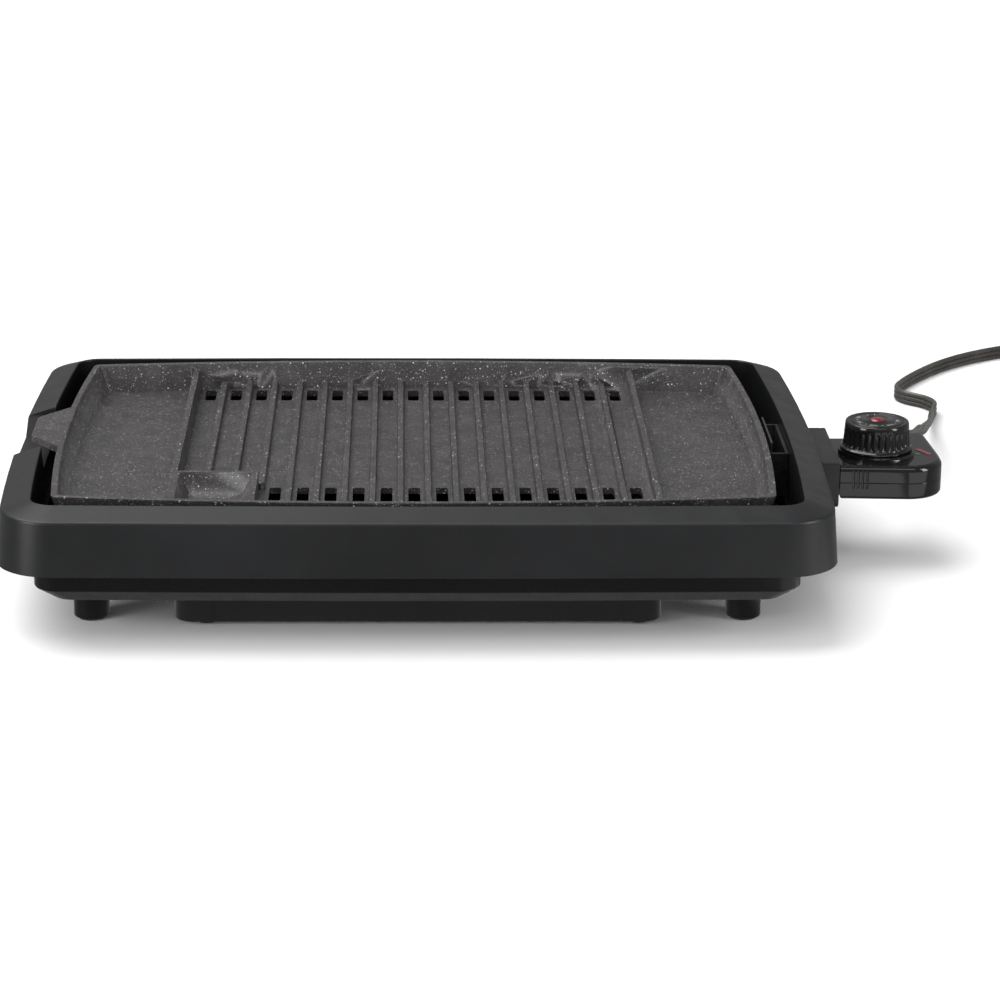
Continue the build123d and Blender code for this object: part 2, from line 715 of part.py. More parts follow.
# ---------------------------------------------------------------- contact block, sleeves, probe
nose_start_x = frame_x + 243.0
block_end_x = control_left_x + control_wall + 2
sleeve_start_x = nose_start_x + 3
sleeve_end_x = nose_start_x + 28
sleeve_radius = 4.25
probe_radius = 2.75
nose_z = (nose_base_z + nose_top_z) / 2
with BuildPart() as contact_block:
    with BuildSketch(Plane((nose_start_x, control_y, nose_z), z_dir=(1, 0, 0))):
        Rectangle(nose_top_z - nose_base_z, 2 * nose_half_y)
    extrude(amount=control_left_x + control_wall - nose_start_x)
    with BuildSketch(Plane((control_left_x + control_wall, control_y, nose_z), z_dir=(1, 0, 0))):
        Rectangle(nose_top_z - nose_base_z + 1, 2 * nose_half_y + 4)
    extrude(amount=2)
    chamfer(contact_block.faces().sort_by(Axis.X)[0].edges(), 1)
    with BuildSketch(Plane.YZ.offset(nose_start_x)):
        with Locations(*[(y, pin_z) for y in pin_ys]):
            Circle(3.6)
    extrude(amount=block_end_x - nose_start_x, mode=Mode.SUBTRACT)
    with BuildSketch(Plane.YZ.offset(sleeve_start_x)):
        with Locations(*[(y, pin_z) for y in pin_ys]):
            Circle(sleeve_radius)
    extrude(amount=block_end_x - sleeve_start_x, mode=Mode.SUBTRACT)
    with BuildSketch(Plane.YZ.offset(nose_start_x)):
        with Locations((control_y, pin_z)):
            Circle(probe_radius)
    extrude(amount=block_end_x - nose_start_x, mode=Mode.SUBTRACT)
save(contact_block, "contact_block")

with BuildPart() as contact_sleeves:
    with BuildSketch(Plane.YZ.offset(sleeve_start_x)):
        with Locations(*[(y, pin_z) for y in pin_ys]):
            Circle(sleeve_radius)
            Circle(pin_radius + clearance, mode=Mode.SUBTRACT)
    extrude(amount=sleeve_end_x - sleeve_start_x)
save(contact_sleeves, "contact_sleeves")

with BuildPart() as earth_spring:
    with BuildSketch(Plane((frame_x + 257, control_y, nose_top_z))):
        Rectangle(22, 8)
    extrude(amount=0.5)
save(earth_spring, "earth_spring")

probe_tip_x = frame_x + 185.0
switch_start_x = knob_x - 17
with BuildPart() as probe_rod:
    with BuildSketch(Plane.YZ.offset(probe_tip_x)):
        with Locations((control_y, pin_z)):
            Circle(probe_radius)
    extrude(amount=switch_start_x - probe_tip_x)
    fillet(probe_rod.edges().group_by(Axis.X)[0], 2)
save(probe_rod, "probe_rod")

switch_base_z = 53.0
switch_top_z = 64.0
spindle_radius = 3.0
spindle_base_z = 56.0
with BuildPart() as thermostat:
    with BuildSketch(Plane((knob_x, knob_y, switch_base_z))):
        Rectangle(34, 28)
    extrude(amount=switch_top_z - switch_base_z)
    fillet(thermostat.edges().filter_by(Axis.Z), 2)
    with BuildSketch(Plane((knob_x, knob_y, switch_top_z))):
        Circle(5.5)
    extrude(amount=control_top_z - control_wall - switch_top_z)
    with BuildSketch(Plane((knob_x, knob_y, spindle_base_z))):
        Circle(spindle_radius + 0.08)
    extrude(amount=20, mode=Mode.SUBTRACT)
save(thermostat, "thermostat")

# ---------------------------------------------------------------- knob
flange_z = control_top_z + boss_ring_height + clearance
flange_radius = 23.5
knob_radius = 22.0
knob_top_radius = 20.5
grip_z = flange_z + 3.2
flute_count = 30
flute_height = 12.0
spindle_bite = 13.5
disc_radius = 17.2
disc_z = knob_top_z - 0.8
disc_top_z = disc_z + 1.0
jewel_radius = 5.3
with BuildPart() as dial_knob:
    with BuildSketch(Plane.XZ.offset(-knob_y)) as knob_profile:
        with BuildLine():
            Polyline(
                (knob_x + 19, flange_z),
                (knob_x + flange_radius, flange_z),
                (knob_x + flange_radius, flange_z + 2),
                (knob_x + knob_radius, grip_z),
                (knob_x + knob_top_radius, knob_top_z - 1),
                (knob_x + knob_top_radius - 1, knob_top_z),
                (knob_x + disc_radius, knob_top_z),
                (knob_x + disc_radius, disc_z),
                (knob_x, disc_z),
                (knob_x, flange_z + 1),
                (knob_x + 6, flange_z + 1),
                (knob_x + 6, knob_top_z - 4),
                (knob_x + knob_top_radius - 2.4, knob_top_z - 4),
                close=True,
            )
        make_face()
    revolve(axis=Axis((knob_x, knob_y, 0), (0, 0, 1)))
    with BuildSketch(Plane((knob_x, knob_y, flange_z))):
        Circle(spindle_radius)
    extrude(amount=spindle_bite, mode=Mode.SUBTRACT)
    with BuildSketch(Plane((knob_x, knob_y, grip_z + 0.4))):
        with PolarLocations(knob_radius + 0.35, flute_count):
            Circle(1.15)
    extrude(amount=flute_height, mode=Mode.SUBTRACT)
save(dial_knob, "dial_knob")

with BuildPart() as knob_disc:
    with BuildSketch(Plane((knob_x, knob_y, disc_z))):
        Circle(disc_radius)
        Circle(jewel_radius, mode=Mode.SUBTRACT)
    extrude(amount=disc_top_z - disc_z)
save(knob_disc, "knob_disc")

with BuildPart() as knob_jewel:
    with BuildSketch(Plane((knob_x, knob_y, disc_z))):
        Circle(jewel_radius)
    extrude(amount=2.6)
    fillet(knob_jewel.edges().group_by(Axis.Z)[-1], 1.5)
save(knob_jewel, "knob_jewel")

with BuildPart() as knob_spindle:
    with BuildSketch(Plane((knob_x, knob_y, spindle_base_z + clearance))):
        Circle(spindle_radius)
    extrude(amount=flange_z + spindle_bite - spindle_base_z - clearance)
save(knob_spindle, "knob_spindle")

# ---------------------------------------------------------------- strain relief, cord and plug
relief_end_y = control_rear_y + 16.5
relief_flange_y = control_rear_y - control_wall - 0.3
relief_flange_radius = 4.4
with BuildPart() as strain_relief:
    with BuildSketch(Plane.XY.offset(parting_z)):
        with BuildLine():
            Polyline(
                (cord_x, relief_flange_y - 2.7),
                (cord_x + relief_flange_radius, relief_flange_y - 2.7),
                (cord_x + relief_flange_radius, relief_flange_y),
                (cord_x + relief_neck_radius, relief_flange_y),
                (cord_x + relief_neck_radius, control_rear_y),
                (cord_x + 7.2, control_rear_y),
                (cord_x + 5.8, relief_end_y),
                (cord_x, relief_end_y),
                close=True,
            )
        make_face()
    revolve(axis=Axis((cord_x, 0, parting_z), (0, 1, 0)))
save(strain_relief, "strain_relief")

# The cord's route, from the strain relief over the table's edge to the plug. The flat cord
# lies on its edge, so its middle is half its width above the table.
lying_z = cord_radius + 0.1
plug_z = 11.4
cord_route = [
    (cord_x, relief_end_y, parting_z),
    (cord_x, 79, parting_z),
    (296, 92, 57.8),
    (303, 106, 54),
    (309.5, 132, 48.5),
    (316.5, 164, 42.5),
    (324.5, 202, 32.5),
    (333, 245, 21.5),
    (341, 287, 10.5),
    (346, 311, 7.2),
    (356.5, 351, lying_z),
    (323.5, 377, lying_z),
    (346, 422, lying_z),
    (382, 470, lying_z),
    (428, 505, lying_z),
    (473, 521, lying_z),
    (511, 510, lying_z),
    (534, 478, lying_z),
    (539, 438, lying_z),
    (535, 394, lying_z),
    (528.5, 350, lying_z),
    (525, 307, lying_z + 0.2),
    (524, 270, 8.2),
    (522.5, 240, plug_z),
    (522, 215, plug_z),
]
cord_points = [Vector(*point) for point in cord_route]
cord_radii = []
for before, corner, after in zip(cord_points, cord_points[1:], cord_points[2:]):
    turn = (corner - before).get_angle(after - corner)
    shorter = min((corner - before).length, (after - corner).length)
    cord_radii.append(0.45 * shorter / math.tan(math.radians(turn / 2)))

with BuildPart() as power_cord:
    with BuildLine():
        cord_path = FilletPolyline(*cord_points, radius=cord_radii)
    with BuildSketch(Plane(origin=cord_path @ 0, z_dir=cord_path % 0)):
        Circle(cord_radius)
    sweep()
save(power_cord, "power_cord")
cord_length = cord_path.length
cord_section = math.pi * cord_radius**2
print("cord length", round(cord_length, 1))
print("cord radii", [round(radius, 1) for radius in cord_radii])
volume_ratio = power_cord.part.volume / cord_section / cord_length
print("cord volume over section times length", round(volume_ratio, 4))

# The plug's own frame: its Z runs along the cord's end, its X is level.
plug_plane = Plane(origin=cord_path @ 1, x_dir=(1, 0, 0), z_dir=cord_path % 1)
plug_neck = 12.0
plug_length = 26.0
blade_length = 17.5
blade_spacing = 12.7
plug_total = plug_neck + plug_length
with BuildPart() as plug_body:
    with BuildSketch(plug_plane):
        Circle(6.2)
    with BuildSketch(plug_plane.offset(plug_neck)):
        Circle(8.6)
    loft()
    with BuildSketch(plug_plane.offset(plug_neck)):
        RectangleRounded(25, 22, 6)
    extrude(amount=plug_length)
    fillet(plug_body.edges().filter_by(GeomType.LINE), 1.5)
save(plug_body, "plug_body")

with BuildPart() as plug_blades:
    with BuildSketch(plug_plane.offset(plug_total)):
        with Locations((-blade_spacing / 2, 3), (blade_spacing / 2, 3)):
            Rectangle(1.5, 6.3)
    extrude(amount=blade_length)
save(plug_blades, "plug_blades")

with BuildPart() as plug_ground_pin:
    with BuildSketch(plug_plane.offset(plug_total)):
        with Locations((0, -5)):
            Circle(2.4)
    extrude(amount=blade_length + 3)
    fillet(plug_ground_pin.edges().sort_by(Axis.Y)[0], 2)
save(plug_ground_pin, "plug_ground_pin")
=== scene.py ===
import json
import math

import bmesh
import bpy
from mathutils import Matrix, Vector


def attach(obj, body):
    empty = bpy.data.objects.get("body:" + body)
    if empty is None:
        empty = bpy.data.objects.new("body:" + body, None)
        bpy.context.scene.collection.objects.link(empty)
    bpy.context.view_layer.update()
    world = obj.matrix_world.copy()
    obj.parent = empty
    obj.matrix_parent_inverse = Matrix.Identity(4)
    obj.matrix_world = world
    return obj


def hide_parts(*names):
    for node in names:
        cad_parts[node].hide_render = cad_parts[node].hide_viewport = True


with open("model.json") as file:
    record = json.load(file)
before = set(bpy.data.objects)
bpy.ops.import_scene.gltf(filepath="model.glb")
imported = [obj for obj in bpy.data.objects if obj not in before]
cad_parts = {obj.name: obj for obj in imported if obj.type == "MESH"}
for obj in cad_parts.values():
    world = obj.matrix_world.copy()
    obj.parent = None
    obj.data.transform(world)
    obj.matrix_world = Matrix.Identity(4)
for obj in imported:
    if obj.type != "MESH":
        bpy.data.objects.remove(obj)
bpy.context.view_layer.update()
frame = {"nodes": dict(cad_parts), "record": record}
mm = 0.001
frameX = -40.5  # middle of the cooking frame, in mm along X


def newObject(name, mesh):
    piece = bpy.data.objects.new(name, mesh)
    bpy.context.scene.collection.objects.link(piece)
    return piece


def dropObject(piece):
    mesh = piece.data
    bpy.data.objects.remove(piece)
    if mesh.users == 0 and isinstance(mesh, bpy.types.Mesh):
        bpy.data.meshes.remove(mesh)


def finishMesh(bm, name, sharpAngle=30.0):
    mesh = bpy.data.meshes.new(name)
    bm.to_mesh(mesh)
    bm.free()
    mesh.shade_smooth()
    mesh.set_sharp_from_angle(angle=math.radians(sharpAngle))
    return newObject(name, mesh)


def applyModifier(piece, modifier):
    view = bpy.context.evaluated_depsgraph_get()
    made = bpy.data.meshes.new_from_object(piece.evaluated_get(view))
    piece.modifiers.remove(modifier)
    plain = piece.data
    piece.data = made
    bpy.data.meshes.remove(plain)


# broad faces keep their own normals, so only the softened edges look round
def evenNormals(piece):
    even = piece.modifiers.new("even", "WEIGHTED_NORMAL")
    even.mode = "FACE_AREA"
    even.weight = 100
    even.keep_sharp = True
    applyModifier(piece, even)


def dress(piece, body, slot, material, *nodes):
    piece.data.materials.clear()
    piece.data.materials.append(material)
    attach(piece, body)
    if nodes:
        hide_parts(*nodes)
    return piece


# the camera and the cord come first
camera = {
    "place": (-0.0503, -2.0797, 0.6925),
    "pitchDown": 17.442,
    "yaw": 1.756,
    "roll": 0.549,
    "lens": 119.84,
    "sensor": 36.0,
}


def makeCamera(values):
    data = bpy.data.cameras.new("camera")
    data.lens = values["lens"]
    data.sensor_width = values["sensor"]
    data.clip_start = 0.05
    data.clip_end = 60.0
    eye = newObject("camera", data)
    turn = Matrix.Rotation(math.radians(-values["yaw"]), 4, "Z")
    turn = turn @ Matrix.Rotation(math.radians(90 - values["pitchDown"]), 4, "X")
    turn = turn @ Matrix.Rotation(math.radians(values["roll"]), 4, "Z")
    eye.matrix_world = Matrix.Translation(values["place"]) @ turn
    bpy.context.scene.camera = eye


makeCamera(camera)
print("camera in place")

cord = {
    "route": [
        (0.2905, 0.066, 0.06),
        (0.2905, 0.079, 0.06),
        (0.296, 0.092, 0.0578),
        (0.303, 0.106, 0.054),
        (0.3095, 0.132, 0.0485),
        (0.3165, 0.164, 0.0425),
        (0.3245, 0.202, 0.0325),
        (0.333, 0.245, 0.0215),
        (0.341, 0.287, 0.0105),
        (0.346, 0.311, 0.0072),
        (0.3565, 0.351, 0.0054),
        (0.3235, 0.377, 0.0054),
        (0.346, 0.422, 0.0054),
        (0.382, 0.47, 0.0054),
        (0.428, 0.505, 0.0054),
        (0.473, 0.521, 0.0054),
        (0.511, 0.51, 0.0054),
        (0.534, 0.478, 0.0054),
        (0.539, 0.438, 0.0054),
        (0.535, 0.394, 0.0054),
        (0.5285, 0.35, 0.0054),
        (0.525, 0.307, 0.0056),
        (0.524, 0.27, 0.0082),
        (0.5225, 0.24, 0.0114),
        (0.522, 0.215, 0.0114),
    ],
    "halfWidth": 5.25 * mm,
    "wireRadius": 1.8 * mm,
    "wirePitch": 3.4 * mm,
    "webHalf": 0.6 * mm,
    "twistStart": 0.03,  # metres along the cord
    "twistEnd": 0.27,
    "segments": 96,
}


def splinePoints(route):
    curve = bpy.data.curves.new("cordLine", "CURVE")
    curve.dimensions = "3D"
    curve.resolution_u = 12
    spline = curve.splines.new("NURBS")
    spline.points.add(len(route) - 1)
    for place, point in zip(route, spline.points):
        point.co = (*place, 1.0)
    spline.order_u = 3
    spline.use_endpoint_u = True
    line = newObject("cordLine", curve)
    mesh = bpy.data.meshes.new_from_object(line)
    points = [vertex.co.copy() for vertex in mesh.vertices]
    bpy.data.objects.remove(line)
    bpy.data.curves.remove(curve)
    bpy.data.meshes.remove(mesh)
    return points


def ribbonHalf(across, values):
    best = values["webHalf"]
    for index in (-1, 0, 1):
        away = across - index * values["wirePitch"]
        inside = values["wireRadius"] ** 2 - away**2
        best = max(best, math.sqrt(max(inside, 0.0)))
    edge = values["halfWidth"] - abs(across)
    return min(best, math.sqrt(max(edge * 2 * values["wireRadius"], 0.0)))


def ribbonRing(bm, place, side, up, values):
    ring = bmesh.ops.create_circle(bm, segments=values["segments"], radius=1.0)["verts"]
    for vertex in ring:
        across = vertex.co.x * values["halfWidth"]
        half = ribbonHalf(across, values)
        thick = half if vertex.co.y > 0 else -half
        if abs(vertex.co.y) < 1e-4:
            thick = 0.0
        vertex.co = place + side * across + up * thick
    return ring


def ringEdges(ring):
    found = set(ring)
    return [edge for vertex in ring for edge in vertex.link_edges if edge.other_vert(vertex) in found]


def joinRings(bm, rings):
    for before, after in zip(rings, rings[1:]):
        edges = list(set(ringEdges(before) + ringEdges(after)))
        bmesh.ops.bridge_loops(bm, edges=edges)


def capRing(bm, ring):
    bmesh.ops.contextual_create(bm, geom=list(set(ringEdges(ring))))


def makeCord(values, material):
    points = splinePoints(values["route"])
    total = sum((b - a).length for a, b in zip(points, points[1:]))
    bm = bmesh.new()
    rings = []
    gone = 0.0
    for index, place in enumerate(points):
        before = points[max(index - 1, 0)]
        after = points[min(index + 1, len(points) - 1)]
        along = (after - before).normalized()
        if index:
            gone += (place - points[index - 1]).length
        side = along.cross(Vector((0, 0, 1))).normalized()
        up = side.cross(along)
        share = (gone - values["twistStart"]) / (values["twistEnd"] - values["twistStart"])
        share = min(max(share, 0.0), 1.0)
        turn = math.pi / 2 * share * share * (3 - 2 * share)
        across = side * math.cos(turn) + up * math.sin(turn)
        thick = up * math.cos(turn) - side * math.sin(turn)
        rings.append(ribbonRing(bm, place, across, thick, values))
    joinRings(bm, rings)
    capRing(bm, rings[0])
    capRing(bm, rings[-1])
    bmesh.ops.recalc_face_normals(bm, faces=bm.faces)
    ribbon = finishMesh(bm, "cordRibbon", 50)
    dress(ribbon, "control", "cord_vinyl", material, "power_cord")
    print("cord laid,", round(total, 4), "m along its middle")
    return ribbon, points, total


# shader groups: one for moulded surfaces, one for speckled coating, one for metal
def groupSocket(group, name, way, kind, value=None):
    socket = group.interface.new_socket(name=name, in_out=way, socket_type=kind)
    if value is not None:
        socket.default_value = value
    return socket


def newGroup(name, inputs, outputs):
    group = bpy.data.node_groups.new(name, "ShaderNodeTree")
    for label, kind, value in inputs:
        groupSocket(group, label, "INPUT", kind, value)
    for label, kind in outputs:
        groupSocket(group, label, "OUTPUT", kind)
    entry = group.nodes.new("NodeGroupInput")
    leave = group.nodes.new("NodeGroupOutput")
    return group, entry, leave


def addNode(tree, kind, **settings):
    node = tree.nodes.new(kind)
    for label, value in settings.items():
        setattr(node, label, value)
    return node


def noiseNode(tree, coordinates, detail, roughness=0.5):
    node = addNode(tree, "ShaderNodeTexNoise")
    node.inputs["Detail"].default_value = detail
    node.inputs["Roughness"].default_value = roughness
    tree.links.new(coordinates, node.inputs["Vector"])
    return node


def mathNode(tree, operation, first, second):
    node = addNode(tree, "ShaderNodeMath", operation=operation)
    for index, value in enumerate((first, second)):
        if isinstance(value, (int, float)):
            node.inputs[index].default_value = value
        else:
            tree.links.new(value, node.inputs[index])
    return node.outputs[0]


def rangeNode(tree, value, fromLow, fromHigh, toLow, toHigh):
    node = addNode(tree, "ShaderNodeMapRange", clamp=True)
    names = ("From Min", "From Max", "To Min", "To Max")
    tree.links.new(value, node.inputs["Value"])
    for label, bound in zip(names, (fromLow, fromHigh, toLow, toHigh)):
        if isinstance(bound, (int, float)):
            node.inputs[label].default_value = bound
        else:
            tree.links.new(bound, node.inputs[label])
    return node.outputs["Result"]


def mixColours(tree, factor, first, second):
    node = addNode(tree, "ShaderNodeMix", data_type="RGBA")
    tree.links.new(factor, node.inputs[0])
    for socket, value in ((node.inputs[6], first), (node.inputs[7], second)):
        if isinstance(value, tuple):
            socket.default_value = (*value, 1.0)
        else:
            tree.links.new(value, socket)
    return node.outputs[2]


def mouldedGroup():
    group, entry, leave = newGroup(
        "mouldedSurface",
        [
            ("Dark", "NodeSocketColor", (0.02, 0.02, 0.02, 1)),
            ("Light", "NodeSocketColor", (0.03, 0.03, 0.03, 1)),
            ("Cloud Scale", "NodeSocketFloat", 14.0),
            ("Grain Scale", "NodeSocketFloat", 1500.0),
            ("Smooth", "NodeSocketFloat", 0.3),
            ("Rough", "NodeSocketFloat", 0.4),
            ("Dust", "NodeSocketFloat", 0.1),
        ],
        [
            ("Color", "NodeSocketColor"),
            ("Roughness", "NodeSocketFloat"),
            ("Height", "NodeSocketFloat"),
        ],
    )
    coordinates = addNode(group, "ShaderNodeTexCoord")
    place = coordinates.outputs["Object"]
    cloud = noiseNode(group, place, 4, 0.6)
    group.links.new(entry.outputs["Cloud Scale"], cloud.inputs["Scale"])
    grain = noiseNode(group, place, 2)
    group.links.new(entry.outputs["Grain Scale"], grain.inputs["Scale"])
    smear = noiseNode(group, place, 3, 0.7)
    smear.inputs["Scale"].default_value = 55.0
    cloudy = rangeNode(group, cloud.outputs["Fac"], 0.35, 0.68, 0.0, 1.0)
    split = addNode(group, "ShaderNodeSeparateXYZ")
    group.links.new(coordinates.outputs["Normal"], split.inputs[0])
    upward = rangeNode(group, split.outputs["Z"], 0.6, 1.0, 0.0, 1.0)
    motes = rangeNode(group, grain.outputs["Fac"], 0.62, 0.74, 0.0, 1.0)
    settled = mathNode(group, "MULTIPLY", upward, motes)
    settled = mathNode(group, "MULTIPLY", settled, entry.outputs["Dust"])
    colour = mixColours(group, cloudy, entry.outputs["Dark"], entry.outputs["Light"])
    colour = mixColours(group, settled, colour, (0.32, 0.31, 0.3))
    group.links.new(colour, leave.inputs["Color"])
    smeared = rangeNode(
        group, smear.outputs["Fac"], 0.38, 0.66, entry.outputs["Smooth"], entry.outputs["Rough"]
    )
    dusty = mathNode(group, "MULTIPLY", settled, 0.3)
    group.links.new(mathNode(group, "ADD", smeared, dusty), leave.inputs["Roughness"])
    group.links.new(grain.outputs["Fac"], leave.inputs["Height"])
    return group


def flecksGroup():
    group, entry, leave = newGroup(
        "stoneFlecks",
        [
            ("Scale", "NodeSocketFloat", 600.0),
            ("Share", "NodeSocketFloat", 0.5),
            ("Size", "NodeSocketFloat", 0.3),
        ],
        [("Mask", "NodeSocketFloat"), ("Height", "NodeSocketFloat")],
    )
    place = addNode(group, "ShaderNodeTexCoord").outputs["Object"]
    cells = addNode(group, "ShaderNodeTexVoronoi", feature="F1")
    group.links.new(place, cells.inputs["Vector"])
    group.links.new(entry.outputs["Scale"], cells.inputs["Scale"])
    split = addNode(group, "ShaderNodeSeparateColor")
    group.links.new(cells.outputs["Color"], split.inputs[0])
    chosen = mathNode(group, "LESS_THAN", split.outputs[0], entry.outputs["Share"])
    reach = mathNode(group, "MULTIPLY", split.outputs[1], entry.outputs["Size"])
    inside = mathNode(group, "SUBTRACT", reach, cells.outputs["Distance"])
    spot = rangeNode(group, inside, -0.02, 0.08, 0.0, 1.0)
    strength = rangeNode(group, split.outputs[2], 0.0, 1.0, 0.35, 1.0)
    mask = mathNode(group, "MULTIPLY", mathNode(group, "MULTIPLY", chosen, spot), strength)
    group.links.new(mask, leave.inputs["Mask"])
    group.links.new(cells.outputs["Distance"], leave.inputs["Height"])
    return group


def metalGroup():
    group, entry, leave = newGroup(
        "workedMetal",
        [
            ("Dark", "NodeSocketColor", (0.4, 0.4, 0.4, 1)),
            ("Light", "NodeSocketColor", (0.6, 0.6, 0.6, 1)),
            ("Stretch", "NodeSocketVector", (20.0, 900.0, 900.0)),
            ("Smooth", "NodeSocketFloat", 0.25),
            ("Rough", "NodeSocketFloat", 0.4),
        ],
        [
            ("Color", "NodeSocketColor"),
            ("Roughness", "NodeSocketFloat"),
            ("Height", "NodeSocketFloat"),
        ],
    )
    place = addNode(group, "ShaderNodeTexCoord").outputs["Object"]
    pulled = addNode(group, "ShaderNodeVectorMath", operation="MULTIPLY")
    group.links.new(place, pulled.inputs[0])
    group.links.new(entry.outputs["Stretch"], pulled.inputs[1])
    lines = noiseNode(group, pulled.outputs[0], 3)
    lines.inputs["Scale"].default_value = 1.0
    stain = noiseNode(group, place, 4, 0.6)
    stain.inputs["Scale"].default_value = 38.0
    both = mathNode(group, "MULTIPLY", lines.outputs["Fac"], stain.outputs["Fac"])
    mask = rangeNode(group, both, 0.15, 0.38, 0.0, 1.0)
    colour = mixColours(group, mask, entry.outputs["Dark"], entry.outputs["Light"])
    group.links.new(colour, leave.inputs["Color"])
    rough = rangeNode(
        group, stain.outputs["Fac"], 0.35, 0.65, entry.outputs["Smooth"], entry.outputs["Rough"]
    )
    group.links.new(rough, leave.inputs["Roughness"])
    group.links.new(lines.outputs["Fac"], leave.inputs["Height"])
    return group


moulded = mouldedGroup()
flecks = flecksGroup()
metal = metalGroup()


def newMaterial(name):
    material = bpy.data.materials.new(name)
    material.use_nodes = True
    return material, material.node_tree, material.node_tree.nodes["Principled BSDF"]


def placeGroup(tree, group, values):
    node = addNode(tree, "ShaderNodeGroup", node_tree=group)
    for label, value in values.items():
        isColour = label in ("Dark", "Light")
        node.inputs[label].default_value = (*value, 1.0) if isColour else value
    return node


def bumpFrom(tree, shader, height, strength, distance):
    bump = addNode(tree, "ShaderNodeBump")
    bump.inputs["Strength"].default_value = strength
    bump.inputs["Distance"].default_value = distance
    tree.links.new(height, bump.inputs["Height"])
    tree.links.new(bump.outputs["Normal"], shader.inputs["Normal"])


def plasticFinish(name, values):
    material, tree, shader = newMaterial(name)
    surface = placeGroup(tree, moulded, values["surface"])
    tree.links.new(surface.outputs["Color"], shader.inputs["Base Color"])
    tree.links.new(surface.outputs["Roughness"], shader.inputs["Roughness"])
    shader.inputs["Specular IOR Level"].default_value = values.get("specular", 0.5)
    shader.inputs["Coat Weight"].default_value = values.get("coat", 0.0)
    shader.inputs["Coat Roughness"].default_value = values.get("coatRoughness", 0.05)
    bumpFrom(tree, shader, surface.outputs["Height"], values["bump"], values["depth"])
    return material


def metalFinish(name, values):
    material, tree, shader = newMaterial(name)
    surface = placeGroup(tree, metal, values["surface"])
    tree.links.new(surface.outputs["Color"], shader.inputs["Base Color"])
    tree.links.new(surface.outputs["Roughness"], shader.inputs["Roughness"])
    shader.inputs["Metallic"].default_value = values.get("metallic", 1.0)
    bumpFrom(tree, shader, surface.outputs["Height"], values["bump"], values["depth"])
    return material


plastics = {
    "casing_plastic": {
        "surface": {
            "Dark": (0.0065, 0.0068, 0.0074),
            "Light": (0.0095, 0.0099, 0.0108),
            "Cloud Scale": 9.0,
            "Grain Scale": 1400.0,
            "Smooth": 0.34,
            "Rough": 0.42,
            "Dust": 0.05,
        },
        "specular": 0.38,
        "bump": 0.12,
        "depth": 0.00008,
    },
    "tub_plastic": {
        "surface": {
            "Dark": (0.0022, 0.0022, 0.0024),
            "Light": (0.0036, 0.0036, 0.0038),
            "Cloud Scale": 11.0,
            "Grain Scale": 1200.0,
            "Smooth": 0.24,
            "Rough": 0.34,
            "Dust": 0.03,
        },
        "specular": 0.3,
        "bump": 0.03,
        "depth": 0.00006,
    },
    "tray_plastic": {
        "surface": {
            "Dark": (0.004, 0.004, 0.0045),
            "Light": (0.007, 0.007, 0.0075),
            "Cloud Scale": 12.0,
            "Grain Scale": 600.0,
            "Smooth": 0.12,
            "Rough": 0.2,
            "Dust": 0.08,
        },
        "bump": 0.03,
        "depth": 0.00005,
    },
    "control_plastic": {
        "surface": {
            "Dark": (0.0035, 0.0035, 0.0038),
            "Light": (0.006, 0.006, 0.0065),
            "Cloud Scale": 22.0,
            "Grain Scale": 500.0,
            "Smooth": 0.07,
            "Rough": 0.13,
            "Dust": 0.1,
        },
        "bump": 0.025,
        "depth": 0.00004,
    },
    "knob_plastic": {
        "surface": {
            "Dark": (0.0035, 0.0035, 0.0038),
            "Light": (0.006, 0.006, 0.0062),
            "Cloud Scale": 40.0,
            "Grain Scale": 700.0,
            "Smooth": 0.1,
            "Rough": 0.17,
            "Dust": 0.08,
        },
        "bump": 0.03,
        "depth": 0.00004,
    },
    "block_plastic": {
        "surface": {
            "Dark": (0.012, 0.009, 0.008),
            "Light": (0.02, 0.016, 0.013),
            "Cloud Scale": 60.0,
            "Grain Scale": 900.0,
            "Smooth": 0.3,
            "Rough": 0.45,
            "Dust": 0.05,
        },
        "bump": 0.1,
        "depth": 0.00008,
    },
    "pad_rubber": {
        "surface": {
            "Dark": (0.012, 0.012, 0.012),
            "Light": (0.022, 0.021, 0.02),
            "Cloud Scale": 90.0,
            "Grain Scale": 1300.0,
            "Smooth": 0.62,
            "Rough": 0.8,
            "Dust": 0.1,
        },
        "bump": 0.3,
        "depth": 0.0001,
    },
    "cord_vinyl": {
        "surface": {
            "Dark": (0.034, 0.031, 0.028),
            "Light": (0.056, 0.052, 0.047),
            "Cloud Scale": 45.0,
            "Grain Scale": 1100.0,
            "Smooth": 0.2,
            "Rough": 0.32,
            "Dust": 0.1,
        },
        "bump": 0.1,
        "depth": 0.00006,
    },
    "ceramic": {
        "surface": {
            "Dark": (0.62, 0.58, 0.5),
            "Light": (0.78, 0.75, 0.68),
            "Cloud Scale": 120.0,
            "Grain Scale": 1500.0,
            "Smooth": 0.18,
            "Rough": 0.35,
            "Dust": 0.2,
        },
        "bump": 0.08,
        "depth": 0.00005,
    },
    "dial_print": {
        "surface": {
            "Dark": (0.24, 0.235, 0.22),
            "Light": (0.34, 0.33, 0.31),
            "Cloud Scale": 300.0,
            "Grain Scale": 2500.0,
            "Smooth": 0.35,
            "Rough": 0.55,
            "Dust": 0.0,
        },
        "bump": 0.1,
        "depth": 0.00003,
    },
}

